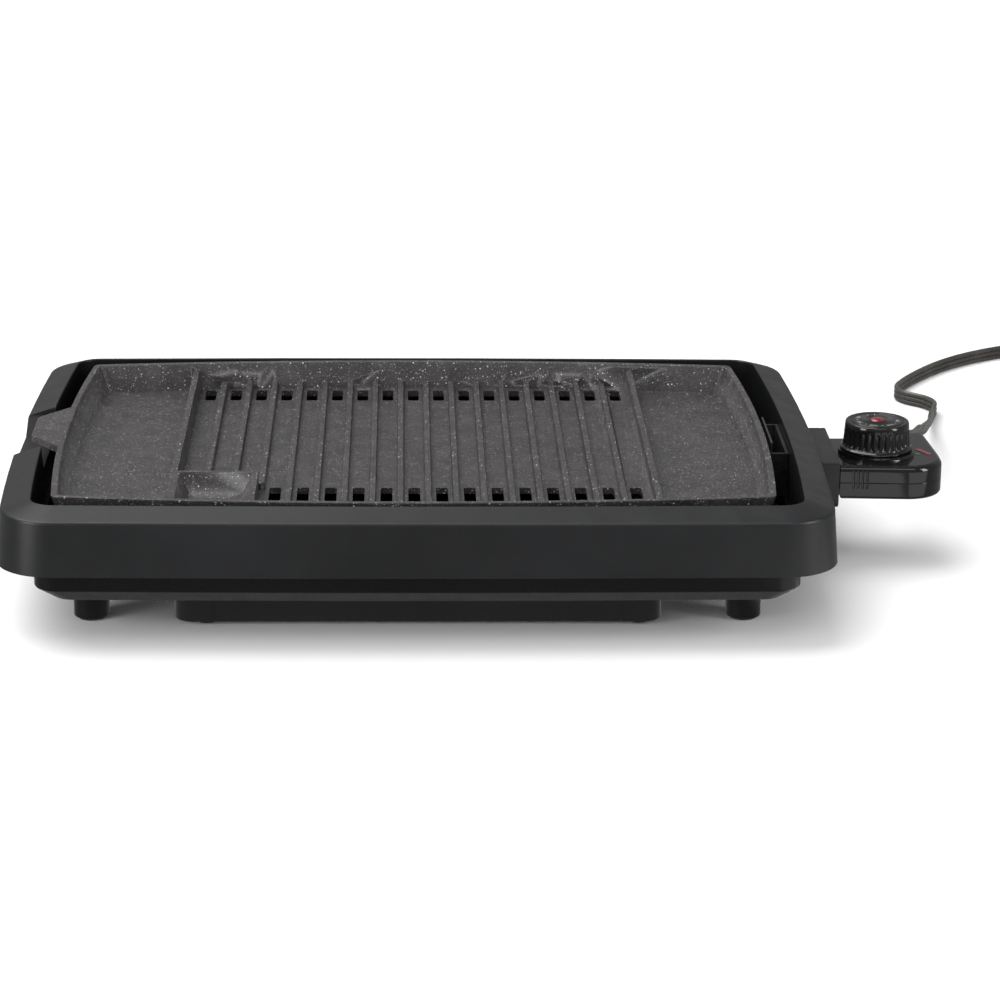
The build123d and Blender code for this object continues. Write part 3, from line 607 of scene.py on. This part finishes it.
metals = {
    "zinc_steel": {
        "surface": {
            "Dark": (0.32, 0.31, 0.29),
            "Light": (0.58, 0.57, 0.53),
            "Stretch": (700.0, 700.0, 700.0),
            "Smooth": 0.22,
            "Rough": 0.4,
        },
        "bump": 0.12,
        "depth": 0.00005,
    },
    "rail_steel": {
        "surface": {
            "Dark": (0.3, 0.3, 0.3),
            "Light": (0.52, 0.52, 0.51),
            "Stretch": (1200.0, 25.0, 1200.0),
            "Smooth": 0.25,
            "Rough": 0.42,
        },
        "bump": 0.15,
        "depth": 0.00005,
    },
    "reflector_steel": {
        "surface": {
            "Dark": (0.2, 0.2, 0.2),
            "Light": (0.36, 0.36, 0.35),
            "Stretch": (18.0, 900.0, 900.0),
            "Smooth": 0.28,
            "Rough": 0.46,
        },
        "bump": 0.12,
        "depth": 0.00006,
    },
    "element_sheath": {
        "surface": {
            "Dark": (0.028, 0.026, 0.024),
            "Light": (0.07, 0.062, 0.055),
            "Stretch": (500.0, 500.0, 500.0),
            "Smooth": 0.45,
            "Rough": 0.65,
        },
        "metallic": 0.7,
        "bump": 0.2,
        "depth": 0.0001,
    },
    "box_steel": {
        "surface": {
            "Dark": (0.05, 0.05, 0.05),
            "Light": (0.1, 0.1, 0.1),
            "Stretch": (900.0, 40.0, 900.0),
            "Smooth": 0.3,
            "Rough": 0.45,
        },
        "metallic": 0.85,
        "bump": 0.15,
        "depth": 0.00006,
    },
    "pin_nickel": {
        "surface": {
            "Dark": (0.5, 0.48, 0.44),
            "Light": (0.7, 0.68, 0.63),
            "Stretch": (60.0, 1500.0, 1500.0),
            "Smooth": 0.12,
            "Rough": 0.24,
        },
        "bump": 0.06,
        "depth": 0.00003,
    },
    "sleeve_brass": {
        "surface": {
            "Dark": (0.45, 0.32, 0.12),
            "Light": (0.68, 0.5, 0.22),
            "Stretch": (60.0, 1200.0, 1200.0),
            "Smooth": 0.18,
            "Rough": 0.32,
        },
        "bump": 0.08,
        "depth": 0.00003,
    },
    "probe_steel": {
        "surface": {
            "Dark": (0.34, 0.33, 0.31),
            "Light": (0.56, 0.55, 0.52),
            "Stretch": (30.0, 1500.0, 1500.0),
            "Smooth": 0.16,
            "Rough": 0.3,
        },
        "bump": 0.08,
        "depth": 0.00003,
    },
}

granite = {
    "surface": {
        "Dark": (0.024, 0.022, 0.0232),
        "Light": (0.042, 0.0385, 0.0405),
        "Cloud Scale": 60.0,
        "Grain Scale": 900.0,
        "Smooth": 0.34,
        "Rough": 0.48,
        "Dust": 0.0,
    },
    "fleck": (0.5, 0.485, 0.485),
    "paleFleck": (0.22, 0.21, 0.22),
    "coarse": {"Scale": 600.0, "Share": 0.46, "Size": 0.36},
    "fine": {"Scale": 1300.0, "Share": 0.7, "Size": 0.44},
    "bump": 0.22,
    "depth": 0.00012,
}


def graniteFinish(name, values):
    material, tree, shader = newMaterial(name)
    base = placeGroup(tree, moulded, values["surface"])
    coarse = placeGroup(tree, flecks, values["coarse"])
    fine = placeGroup(tree, flecks, values["fine"])
    colour = mixColours(tree, fine.outputs["Mask"], base.outputs["Color"], values["paleFleck"])
    colour = mixColours(tree, coarse.outputs["Mask"], colour, values["fleck"])
    tree.links.new(colour, shader.inputs["Base Color"])
    tree.links.new(base.outputs["Roughness"], shader.inputs["Roughness"])
    height = mathNode(tree, "ADD", base.outputs["Height"], coarse.outputs["Mask"])
    bumpFrom(tree, shader, height, values["bump"], values["depth"])
    return material


# lens finishes; paintedGlow is a painted glow: a faint emission in the lens colour that makes the lenses
# look lit from inside
lenses = {
    "red_lens": {"dark": (0.07, 0.002, 0.006), "light": (0.2, 0.008, 0.016), "paintedGlow": 0.01},
    "green_lens": {"dark": (0.004, 0.045, 0.028), "light": (0.01, 0.1, 0.06), "paintedGlow": 0.01},
}


def lensFinish(name, values):
    material, tree, shader = newMaterial(name)
    place = addNode(tree, "ShaderNodeTexCoord").outputs["Object"]
    depth = noiseNode(tree, place, 3)
    depth.inputs["Scale"].default_value = 420.0
    mask = rangeNode(tree, depth.outputs["Fac"], 0.35, 0.65, 0.0, 1.0)
    colour = mixColours(tree, mask, values["dark"], values["light"])
    tree.links.new(colour, shader.inputs["Base Color"])
    rough = rangeNode(tree, depth.outputs["Fac"], 0.3, 0.7, 0.05, 0.12)
    tree.links.new(rough, shader.inputs["Roughness"])
    shader.inputs["Coat Weight"].default_value = 0.6
    shader.inputs["Coat Roughness"].default_value = 0.03
    # painted glow: a faint emission in the lens's light colour, so the jewel and lens windows look lit from
    # inside
    shader.inputs["Emission Color"].default_value = (*values["light"], 1.0)
    shader.inputs["Emission Strength"].default_value = values["paintedGlow"]
    bumpFrom(tree, shader, depth.outputs["Fac"], 0.05, 0.00005)
    return material


finishes = {name: plasticFinish(name, values) for name, values in plastics.items()}
finishes.update({name: metalFinish(name, values) for name, values in metals.items()})
finishes.update({name: lensFinish(name, values) for name, values in lenses.items()})
finishes["granite_coating"] = graniteFinish("granite_coating", granite)
print("finishes mixed:", len(finishes))

ribbon, cordPath, cordLength = makeCord(cord, finishes["cord_vinyl"])


# CAD pieces that keep their shape take the finish of their slot
def paintNodes():
    for row in frame["record"]["subparts"]:
        node = frame["nodes"][row["node"]]
        finish = finishes[row["material_slot"]]
        if not node.material_slots:
            node.data.materials.append(finish)
        for place in node.material_slots:
            place.material = finish


paintNodes()


# a copy of a CAD piece, with doubled points joined and flat faces whole
def mergedCopy(node):
    bm = bmesh.new()
    bm.from_mesh(frame["nodes"][node].data)
    bmesh.ops.remove_doubles(bm, verts=bm.verts, dist=0.005 * mm)
    bmesh.ops.dissolve_limit(
        bm, angle_limit=math.radians(0.6), verts=bm.verts, edges=bm.edges, use_dissolve_boundaries=False
    )
    return bm


def softenEdges(bm, radius, wanted, segments=3, sharpest=16.0):
    picked = []
    for edge in bm.edges:
        if len(edge.link_faces) != 2 or edge.calc_face_angle() < math.radians(sharpest):
            continue
        middle = (edge.verts[0].co + edge.verts[1].co) / 2 / mm
        if wanted(middle, edge):
            picked.append(edge)
    bmesh.ops.bevel(
        bm,
        geom=picked,
        offset=radius * mm,
        offset_type="OFFSET",
        segments=segments,
        profile=0.5,
        affect="EDGES",
        clamp_overlap=False,
        material=-1,
        loop_slide=True,
    )
    return len(picked)


def levelAt(edge, height, slack=0.15):
    return all(abs(vertex.co.z / mm - height) < slack for vertex in edge.verts)


# heights in mm of the level edges that are softened, and their radius
softening = {
    "frameCasing": {"radius": 1.3, "levels": (83.0, 89.0)},
    "baseTub": {"radius": 0.9, "levels": (33.5, 24.0)},
    "plateRim": {"radius": 0.7, "levels": (89.0,), "segments": 2},
    "plateRibs": {"radius": 0.35, "levels": (84.5, 76.5), "segments": 2},
    "dripTray": {"radius": 0.6, "levels": (19.5, 3.0)},
}


def softenLevels(bm, values):
    return softenEdges(
        bm,
        values["radius"],
        lambda middle, edge: any(levelAt(edge, height) for height in values["levels"]),
        values.get("segments", 3),
    )


def makeFrameCasing():
    bm = mergedCopy("frame_casing")
    count = softenLevels(bm, softening["frameCasing"])
    piece = finishMesh(bm, "frameCasing", 32)
    evenNormals(piece)
    dress(piece, "base", "casing_plastic", finishes["casing_plastic"], "frame_casing")
    print("frame casing softened along", count, "edges")


def makeBaseTub():
    bm = mergedCopy("base_tub")
    count = softenLevels(bm, softening["baseTub"])
    piece = finishMesh(bm, "baseTub", 32)
    evenNormals(piece)
    dress(piece, "base", "tub_plastic", finishes["tub_plastic"], "base_tub")
    print("base tub softened along", count, "edges")


def makeCookingPlate():
    bm = mergedCopy("cooking_plate")
    count = softenLevels(bm, softening["plateRim"])
    count += softenLevels(bm, softening["plateRibs"])
    piece = finishMesh(bm, "cookingPlate", 32)
    evenNormals(piece)
    dress(piece, "plate", "granite_coating", finishes["granite_coating"], "cooking_plate")
    print("cooking plate softened along", count, "edges")


trayLedge = {"middle": (frameX, -138.6, 9.0), "size": (254.0, 4.0, 14.4), "corner": 1.2}


def makeDripTray(ledge):
    bm = mergedCopy("drip_tray")
    count = softenLevels(bm, softening["dripTray"])
    piece = finishMesh(bm, "dripTray", 32)
    cutter = boxCutter([(ledge["middle"], ledge["size"])], ledge["corner"])
    carve(piece, cutter)
    evenNormals(piece)
    dropObject(cutter)
    dress(piece, "tray", "tray_plastic", finishes["tray_plastic"], "drip_tray")
    print("drip tray softened along", count, "edges")


makeFrameCasing()
makeBaseTub()
makeCookingPlate()

# the knob is a stack of rings: a flange, a fluted grip and a plain band under the dial
knob = {
    "centre": (frameX + 300.0, 2.0),
    "flutes": 30,
    "perFlute": 8,
    "fluteShape": (0.0, 0.0, 0.25, 0.8, 1.0, 0.8, 0.25, 0.0),
    "fluteDepth": 0.95,
    "rows": [  # radius, height, share of the flute's depth
        (19.4, 74.5, 0),
        (23.1, 74.4, 0),
        (23.45, 74.7, 0),
        (23.5, 75.2, 0),
        (23.45, 75.8, 0),
        (23.0, 76.2, 0),
        (22.3, 76.6, 0),
        (21.95, 77.2, 0.0),
        (21.9, 77.7, 0.6),
        (21.85, 78.4, 1.0),
        (21.6, 80.5, 1.0),
        (21.3, 83.5, 1.0),
        (21.05, 87.4, 1.0),
        (21.0, 88.2, 0.75),
        (20.95, 88.7, 0.0),
        (20.85, 90.5, 0),
        (20.7, 91.9, 0),
        (20.4, 92.6, 0),
        (19.9, 92.93, 0),
        (19.2, 93.0, 0),
        (17.6, 93.0, 0),
        (17.3, 92.8, 0),
        (17.25, 92.3, 0),
    ],
}


def makeKnob(values):
    bm = bmesh.new()
    count = values["flutes"] * values["perFlute"]
    rings = []
    for radius, height, share in values["rows"]:
        place = Matrix.Translation((values["centre"][0] * mm, values["centre"][1] * mm, height * mm))
        ring = bmesh.ops.create_circle(bm, segments=count, radius=radius * mm, matrix=place)["verts"]
        if share:
            for index, vertex in enumerate(ring):
                cut = values["fluteShape"][index % values["perFlute"]] * share * values["fluteDepth"]
                middle = Vector((place[0][3], place[1][3], vertex.co.z))
                vertex.co = middle + (vertex.co - middle) * (1 - cut / radius)
        rings.append(ring)
    joinRings(bm, rings)
    joinRings(bm, [rings[-1], rings[0]])
    bmesh.ops.recalc_face_normals(bm, faces=bm.faces)
    piece = finishMesh(bm, "dialKnob", 40)
    dress(piece, "knob", "knob_plastic", finishes["knob_plastic"], "dial_knob")
    print("knob turned with", values["flutes"], "flutes")


makeKnob(knob)


# carving: a cutter is taken out of a finished piece
def boxCutter(boxes, corner=0.0):
    bm = bmesh.new()
    for middle, size in boxes:
        place = Matrix.Translation([part * mm for part in middle])
        scale = Matrix.Diagonal([part * mm for part in size] + [1.0])
        made = bmesh.ops.create_cube(bm, size=1.0, matrix=place @ scale)["verts"]
        if corner:
            edges = list({edge for vertex in made for edge in vertex.link_edges})
            bmesh.ops.bevel(
                bm, geom=edges, offset=corner * mm, offset_type="OFFSET", segments=3,
                profile=0.5, affect="EDGES", material=-1,
            )
    return finishMesh(bm, "cutter")


def carve(piece, cutter, sharpAngle=32.0):
    cut = piece.modifiers.new("carve", "BOOLEAN")
    cut.operation = "DIFFERENCE"
    cut.solver = "EXACT"
    cut.object = cutter
    applyModifier(piece, cut)
    piece.data.shade_smooth()
    piece.data.set_sharp_from_angle(angle=math.radians(sharpAngle))


housing = {
    "middle": (frameX + 307.0, 1.0),
    "parting": 60.0,
    "partingRadius": 0.4,
    "grooveXs": (281.6, 284.5, 287.4, 290.3),  # from the frame's middle
    "grooveSize": (1.5, 2.0, 12.0),
    "grooveY": -31.2,
    "grooveZ": 62.3,
    "grooveCorner": 0.35,
}


def facesOut(edge, middle):
    for face in edge.link_faces:
        away = face.calc_center_median().xy / mm - Vector(middle)
        if abs(face.normal.z) < 0.3 and face.normal.xy.dot(away) > 0.3:
            return True
    return False


def makeHousing(values):
    level = values["parting"]
    boxes = []
    for x in values["grooveXs"]:
        boxes.append(((frameX + x, values["grooveY"], values["grooveZ"]), values["grooveSize"]))
    for node, name in (("housing_bottom", "controlBase"), ("housing_top", "controlCover")):
        bm = mergedCopy(node)
        softenEdges(
            bm,
            values["partingRadius"],
            lambda middle, edge: levelAt(edge, level) and facesOut(edge, values["middle"]),
            2,
        )
        piece = finishMesh(bm, name, 32)
        cutter = boxCutter(boxes, values["grooveCorner"])
        carve(piece, cutter)
        evenNormals(piece)
        dropObject(cutter)
        dress(piece, "control", "control_plastic", finishes["control_plastic"], node)
    print("control housing cut with", len(boxes), "grooves")


shroud = {"radius": 0.5, "fromX": frameX + 265.5}


def makeShroud(values):
    bm = mergedCopy("control_shroud")
    count = softenEdges(bm, values["radius"], lambda middle, edge: middle.x > values["fromX"], 2)
    piece = finishMesh(bm, "controlShroud", 32)
    evenNormals(piece)
    dress(piece, "base", "casing_plastic", finishes["casing_plastic"], "control_shroud")
    print("control shroud softened along", count, "edges")


makeDripTray(trayLedge)
makeHousing(housing)
makeShroud(shroud)

dial = {
    "numbers": ("200", "250", "300", "350", "400"),
    "firstAngle": 152.0,
    "step": 50.0,
    "radius": 13.0,
    "size": 3.6,
    "printHeight": 0.05,
    "discRadius": 17.15,
    "discTop": 93.2,
    "discBase": 92.3,
    "ticks": ((90.0, 3.4), (111.0, 1.2), (177.0, 1.2), (227.0, 1.2), (277.0, 1.2), (327.0, 1.2)),
    "tickWidth": 0.55,
    "jewelRadius": 5.2,
    "jewelHeight": 2.3,
}


def addText(bm, word, values, place):
    curve = bpy.data.curves.new("word", "FONT")
    curve.body = word
    curve.size = values["size"] * mm
    curve.align_x = "CENTER"
    curve.align_y = "CENTER"
    curve.extrude = values["printHeight"] / 2 * mm
    curve.resolution_u = 3
    label = newObject("word", curve)
    mesh = bpy.data.meshes.new_from_object(label)
    mesh.transform(place)
    bm.from_mesh(mesh)
    bpy.data.objects.remove(label)
    bpy.data.curves.remove(curve)
    bpy.data.meshes.remove(mesh)


def dialPlace(angle, radius, height):
    turn = math.radians(angle)
    x = knob["centre"][0] + radius * math.cos(turn)
    y = knob["centre"][1] + radius * math.sin(turn)
    return Matrix.Translation((x * mm, y * mm, height * mm)) @ Matrix.Rotation(turn - math.pi / 2, 4, "Z")


def makeDial(values):
    bm = bmesh.new()
    rings = []
    rows = (
        (values["jewelRadius"], values["discBase"]),
        (values["discRadius"], values["discBase"]),
        (values["discRadius"], values["discTop"] - 0.25),
        (values["discRadius"] - 0.25, values["discTop"]),
        (values["discRadius"] - 1.1, values["discTop"]),
        (values["discRadius"] - 1.3, values["discTop"] - 0.2),
        (values["jewelRadius"] + 1.2, values["discTop"] - 0.2),
        (values["jewelRadius"] + 0.9, values["discTop"]),
        (values["jewelRadius"], values["discTop"]),
    )
    for radius, height in rows:
        place = Matrix.Translation((knob["centre"][0] * mm, knob["centre"][1] * mm, height * mm))
        rings.append(bmesh.ops.create_circle(bm, segments=96, radius=radius * mm, matrix=place)["verts"])
    joinRings(bm, rings)
    joinRings(bm, [rings[-1], rings[0]])
    bmesh.ops.recalc_face_normals(bm, faces=bm.faces)
    disc = finishMesh(bm, "dialDisc", 40)
    dress(disc, "knob", "knob_plastic", finishes["knob_plastic"], "knob_disc")

    bm = bmesh.new()
    height = values["discTop"] - 0.2 + values["printHeight"] / 2
    for index, number in enumerate(values["numbers"]):
        place = dialPlace(values["firstAngle"] + index * values["step"], values["radius"], height)
        addText(bm, number, values, place)
    for angle, length in values["ticks"]:
        scale = Matrix.Diagonal((values["tickWidth"] * mm, length * mm, values["printHeight"] * mm, 1.0))
        bmesh.ops.create_cube(bm, size=1.0, matrix=dialPlace(angle, values["radius"], height) @ scale)
    marks = finishMesh(bm, "dialNumbers", 30)
    dress(marks, "knob", "dial_print", finishes["dial_print"])
    print("dial printed with", len(values["numbers"]), "numbers")


def makeJewel(values):
    bm = bmesh.new()
    x, y = knob["centre"]
    place = Matrix.Translation((x * mm, y * mm, (values["discBase"] + 0.1) * mm))
    squash = Matrix.Diagonal((1.0, 1.0, values["jewelHeight"] / values["jewelRadius"], 1.0))
    bmesh.ops.create_uvsphere(
        bm, u_segments=40, v_segments=20, radius=values["jewelRadius"] * mm, matrix=place @ squash
    )
    geometry = list(bm.verts) + list(bm.edges) + list(bm.faces)
    bmesh.ops.bisect_plane(
        bm, geom=geometry, dist=0.001 * mm, plane_co=place.translation, plane_no=(0, 0, 1), clear_inner=True
    )
    rim = [edge for edge in bm.edges if edge.is_boundary]
    bmesh.ops.contextual_create(bm, geom=rim)
    bmesh.ops.recalc_face_normals(bm, faces=bm.faces)
    jewel = finishMesh(bm, "dialJewel", 40)
    dress(jewel, "knob", "red_lens", finishes["red_lens"], "knob_jewel")
    print("jewel set")


makeDial(dial)
makeJewel(dial)

# the strain relief flattens from a round collar to the ribbon's section
relief = {
    "x": frameX + 331.0,
    "z": 60.0,
    "rows": [  # y, half width, half height
        (44.6, 4.3, 4.3),
        (47.1, 4.3, 4.3),
        (47.15, 3.5, 3.5),
        (49.5, 3.5, 3.5),
        (49.55, 6.9, 6.9),
        (50.1, 7.1, 7.1),
        (51.5, 7.0, 6.9),
        (52.1, 6.7, 6.5),
    ],
    "ribs": 4,
    "ribPitch": 3.2,
    "ribRows": ((0.0, 0.45), (0.45, 0.45), (0.75, 0.0), (2.3, 0.0), (2.6, 0.45)),  # offset, cut
    "tip": (66.0, 5.75, 3.1),
    "shoulder": (6.8, 6.5),
}


def makeRelief(values):
    rows = list(values["rows"])
    startY = rows[-1][0] + 0.3
    startWide, startTall = values["shoulder"]
    endY, endWide, endTall = values["tip"]
    for index in range(values["ribs"]):
        for offset, cut in values["ribRows"]:
            y = startY + index * values["ribPitch"] + offset
            share = (y - startY) / (endY - startY)
            wide = startWide + (endWide - startWide) * share - cut
            tall = startTall + (endTall - startTall) * share - cut
            rows.append((y, wide, tall))
    rows += [(endY - 0.6, endWide, endTall), (endY, endWide - 0.4, endTall - 0.4)]
    bm = bmesh.new()
    rings = []
    for y, wide, tall in rows:
        place = Matrix.Translation((values["x"] * mm, y * mm, values["z"] * mm))
        size = Matrix.Diagonal((wide * mm, tall * mm, 1.0, 1.0))
        place = place @ Matrix.Rotation(math.pi / 2, 4, "X") @ size
        rings.append(bmesh.ops.create_circle(bm, segments=48, radius=1.0, matrix=place)["verts"])
    joinRings(bm, rings)
    capRing(bm, rings[0])
    capRing(bm, rings[-1])
    bmesh.ops.recalc_face_normals(bm, faces=bm.faces)
    piece = finishMesh(bm, "cordRelief", 40)
    dress(piece, "control", "cord_vinyl", finishes["cord_vinyl"], "strain_relief")
    print("strain relief ribbed")


makeRelief(relief)

plug = {
    "rows": [  # distance from the cord's end, half width, half height, squareness
        (0.0, 5.9, 5.9, 2.0),
        (0.6, 6.2, 6.2, 2.0),
        (2.0, 6.4, 6.4, 2.0),
        (2.3, 5.9, 5.9, 2.0),
        (3.3, 5.9, 5.9, 2.0),
        (3.6, 6.8, 6.8, 2.0),
        (5.2, 7.0, 7.0, 2.0),
        (5.5, 6.3, 6.3, 2.0),
        (6.6, 6.4, 6.4, 2.0),
        (6.9, 7.4, 7.4, 2.0),
        (8.6, 7.7, 7.7, 2.0),
        (8.9, 7.0, 7.0, 2.0),
        (10.0, 7.2, 7.2, 2.0),
        (10.4, 8.0, 8.0, 2.1),
        (12.0, 8.6, 8.5, 2.3),
        (14.5, 10.4, 9.4, 2.8),
        (17.0, 11.8, 10.3, 3.4),
        (20.0, 12.2, 10.7, 4.0),
        (24.0, 11.6, 10.3, 4.0),
        (29.0, 11.1, 10.0, 4.0),
        (33.0, 11.9, 10.6, 4.4),
        (35.0, 12.4, 10.9, 4.6),
        (37.2, 12.4, 10.9, 4.6),
        (37.8, 12.1, 10.6, 4.6),
        (38.0, 11.7, 10.2, 4.6),
    ],
    "segments": 64,
}


def makePlug(values):
    end = Vector(cord["route"][-1])
    along = (end - Vector(cord["route"][-2])).normalized()
    side = Vector((1, 0, 0))
    up = Vector((0, 0, 1))
    bm = bmesh.new()
    rings = []
    for distance, wide, tall, square in values["rows"]:
        ring = bmesh.ops.create_circle(bm, segments=values["segments"], radius=1.0)["verts"]
        for vertex in ring:
            power = 2.0 / square
            x = math.copysign(abs(vertex.co.x) ** power, vertex.co.x) * wide
            z = math.copysign(abs(vertex.co.y) ** power, vertex.co.y) * tall
            vertex.co = end + along * distance * mm + side * x * mm + up * z * mm
        rings.append(ring)
    joinRings(bm, rings)
    capRing(bm, rings[0])
    capRing(bm, rings[-1])
    bmesh.ops.recalc_face_normals(bm, faces=bm.faces)
    piece = finishMesh(bm, "plugGrip", 40)
    dress(piece, "control", "cord_vinyl", finishes["cord_vinyl"], "plug_body")
    print("plug shaped")
    return piece


plugGrip = makePlug(plug)

studio = {
    "world": 0.3,
    "floor": (0.86, 0.86, 0.865),
    "suns": {
        "skyLight": {"from": (-0.42, 0.12, 1.0), "angle": 50.0, "power": 2.4, "gloss": True},
        "frontFill": {"from": (-0.5, -1.0, 0.75), "angle": 90.0, "power": 1.6, "gloss": False},
    },
    "panels": {
        "overhead": {
            "place": (-0.9, 1.5, 2.1),
            "aim": (-0.1, 0.0, 0.05),
            "size": (2.0, 1.2),
            "power": 7.0,
        },
        "leftPanel": {
            "place": (-1.7, -1.2, 0.5),
            "aim": (-0.1, -0.1, 0.05),
            "size": (0.8, 1.2),
            "power": 22.0,
        },
        "rightPanel": {
            "place": (1.5, -0.75, 0.6),
            "aim": (0.1, -0.1, 0.05),
            "size": (0.4, 1.1),
            "power": 12.0,
        },
        "frontTop": {
            "place": (0.5, -1.5, 2.0),
            "aim": (0.25, 0.0, 0.05),
            "size": (1.5, 0.8),
            "power": 7.0,
        },
    },
    "cards": {  # seen only in gloss: the bright table in front of the control
        "leftCard": {
            "place": (0.24, -0.26, 0.004),
            "aim": (0.24, -0.26, 1.0),
            "size": (0.085, 0.3),
            "power": 0.075,
        },
        "rightCard": {
            "place": (0.41, -0.26, 0.004),
            "aim": (0.41, -0.26, 1.0),
            "size": (0.22, 0.3),
            "power": 0.19,
        },
    },
}


def makeFloor(values):
    bm = bmesh.new()
    bmesh.ops.create_grid(bm, x_segments=1, y_segments=1, size=14.0)
    floor = finishMesh(bm, "floor")
    material, tree, shader = newMaterial("floorPaper")
    place = addNode(tree, "ShaderNodeTexCoord").outputs["Object"]
    tone = noiseNode(tree, place, 2)
    tone.inputs["Scale"].default_value = 1.5
    mask = rangeNode(tree, tone.outputs["Fac"], 0.3, 0.7, 0.0, 1.0)
    colour = mixColours(tree, mask, values["floor"], tuple(part * 0.99 for part in values["floor"]))
    tree.links.new(colour, shader.inputs["Base Color"])
    shader.inputs["Roughness"].default_value = 0.6
    shader.inputs["Specular IOR Level"].default_value = 0.1
    floor.data.materials.append(material)
    floor.visible_glossy = False  # gloss picks up the panels, not the paper


def makeSun(name, values):
    data = bpy.data.lights.new(name, "SUN")
    data.angle = math.radians(values["angle"])
    data.energy = values["power"]
    lamp = newObject(name, data)
    lamp.visible_glossy = values["gloss"]
    lamp.matrix_world = (-Vector(values["from"])).to_track_quat("-Z", "Y").to_matrix().to_4x4()


def makePanel(name, values):
    data = bpy.data.lights.new(name, "AREA")
    data.shape = "RECTANGLE"
    data.size, data.size_y = values["size"]
    data.energy = values["power"]
    lamp = newObject(name, data)
    aim = Vector(values["aim"]) - Vector(values["place"])
    turn = aim.to_track_quat("-Z", "Y").to_matrix().to_4x4()
    lamp.matrix_world = Matrix.Translation(values["place"]) @ turn
    return lamp


def makeStudio(values):
    world = bpy.data.worlds.new("studio")
    world.use_nodes = True
    sky = world.node_tree.nodes["Background"]
    sky.inputs["Color"].default_value = (1.0, 1.0, 1.0, 1.0)
    sky.inputs["Strength"].default_value = values["world"]
    bpy.context.scene.world = world
    bpy.context.scene.view_settings.view_transform = "Standard"
    makeFloor(values)
    for name, sun in values["suns"].items():
        makeSun(name, sun)
    for name, panel in values["panels"].items():
        makePanel(name, panel)
    for name, card in values["cards"].items():
        lamp = makePanel(name, card)
        lamp.visible_camera = False
        lamp.visible_diffuse = False
    print("studio lit")


makeStudio(studio)
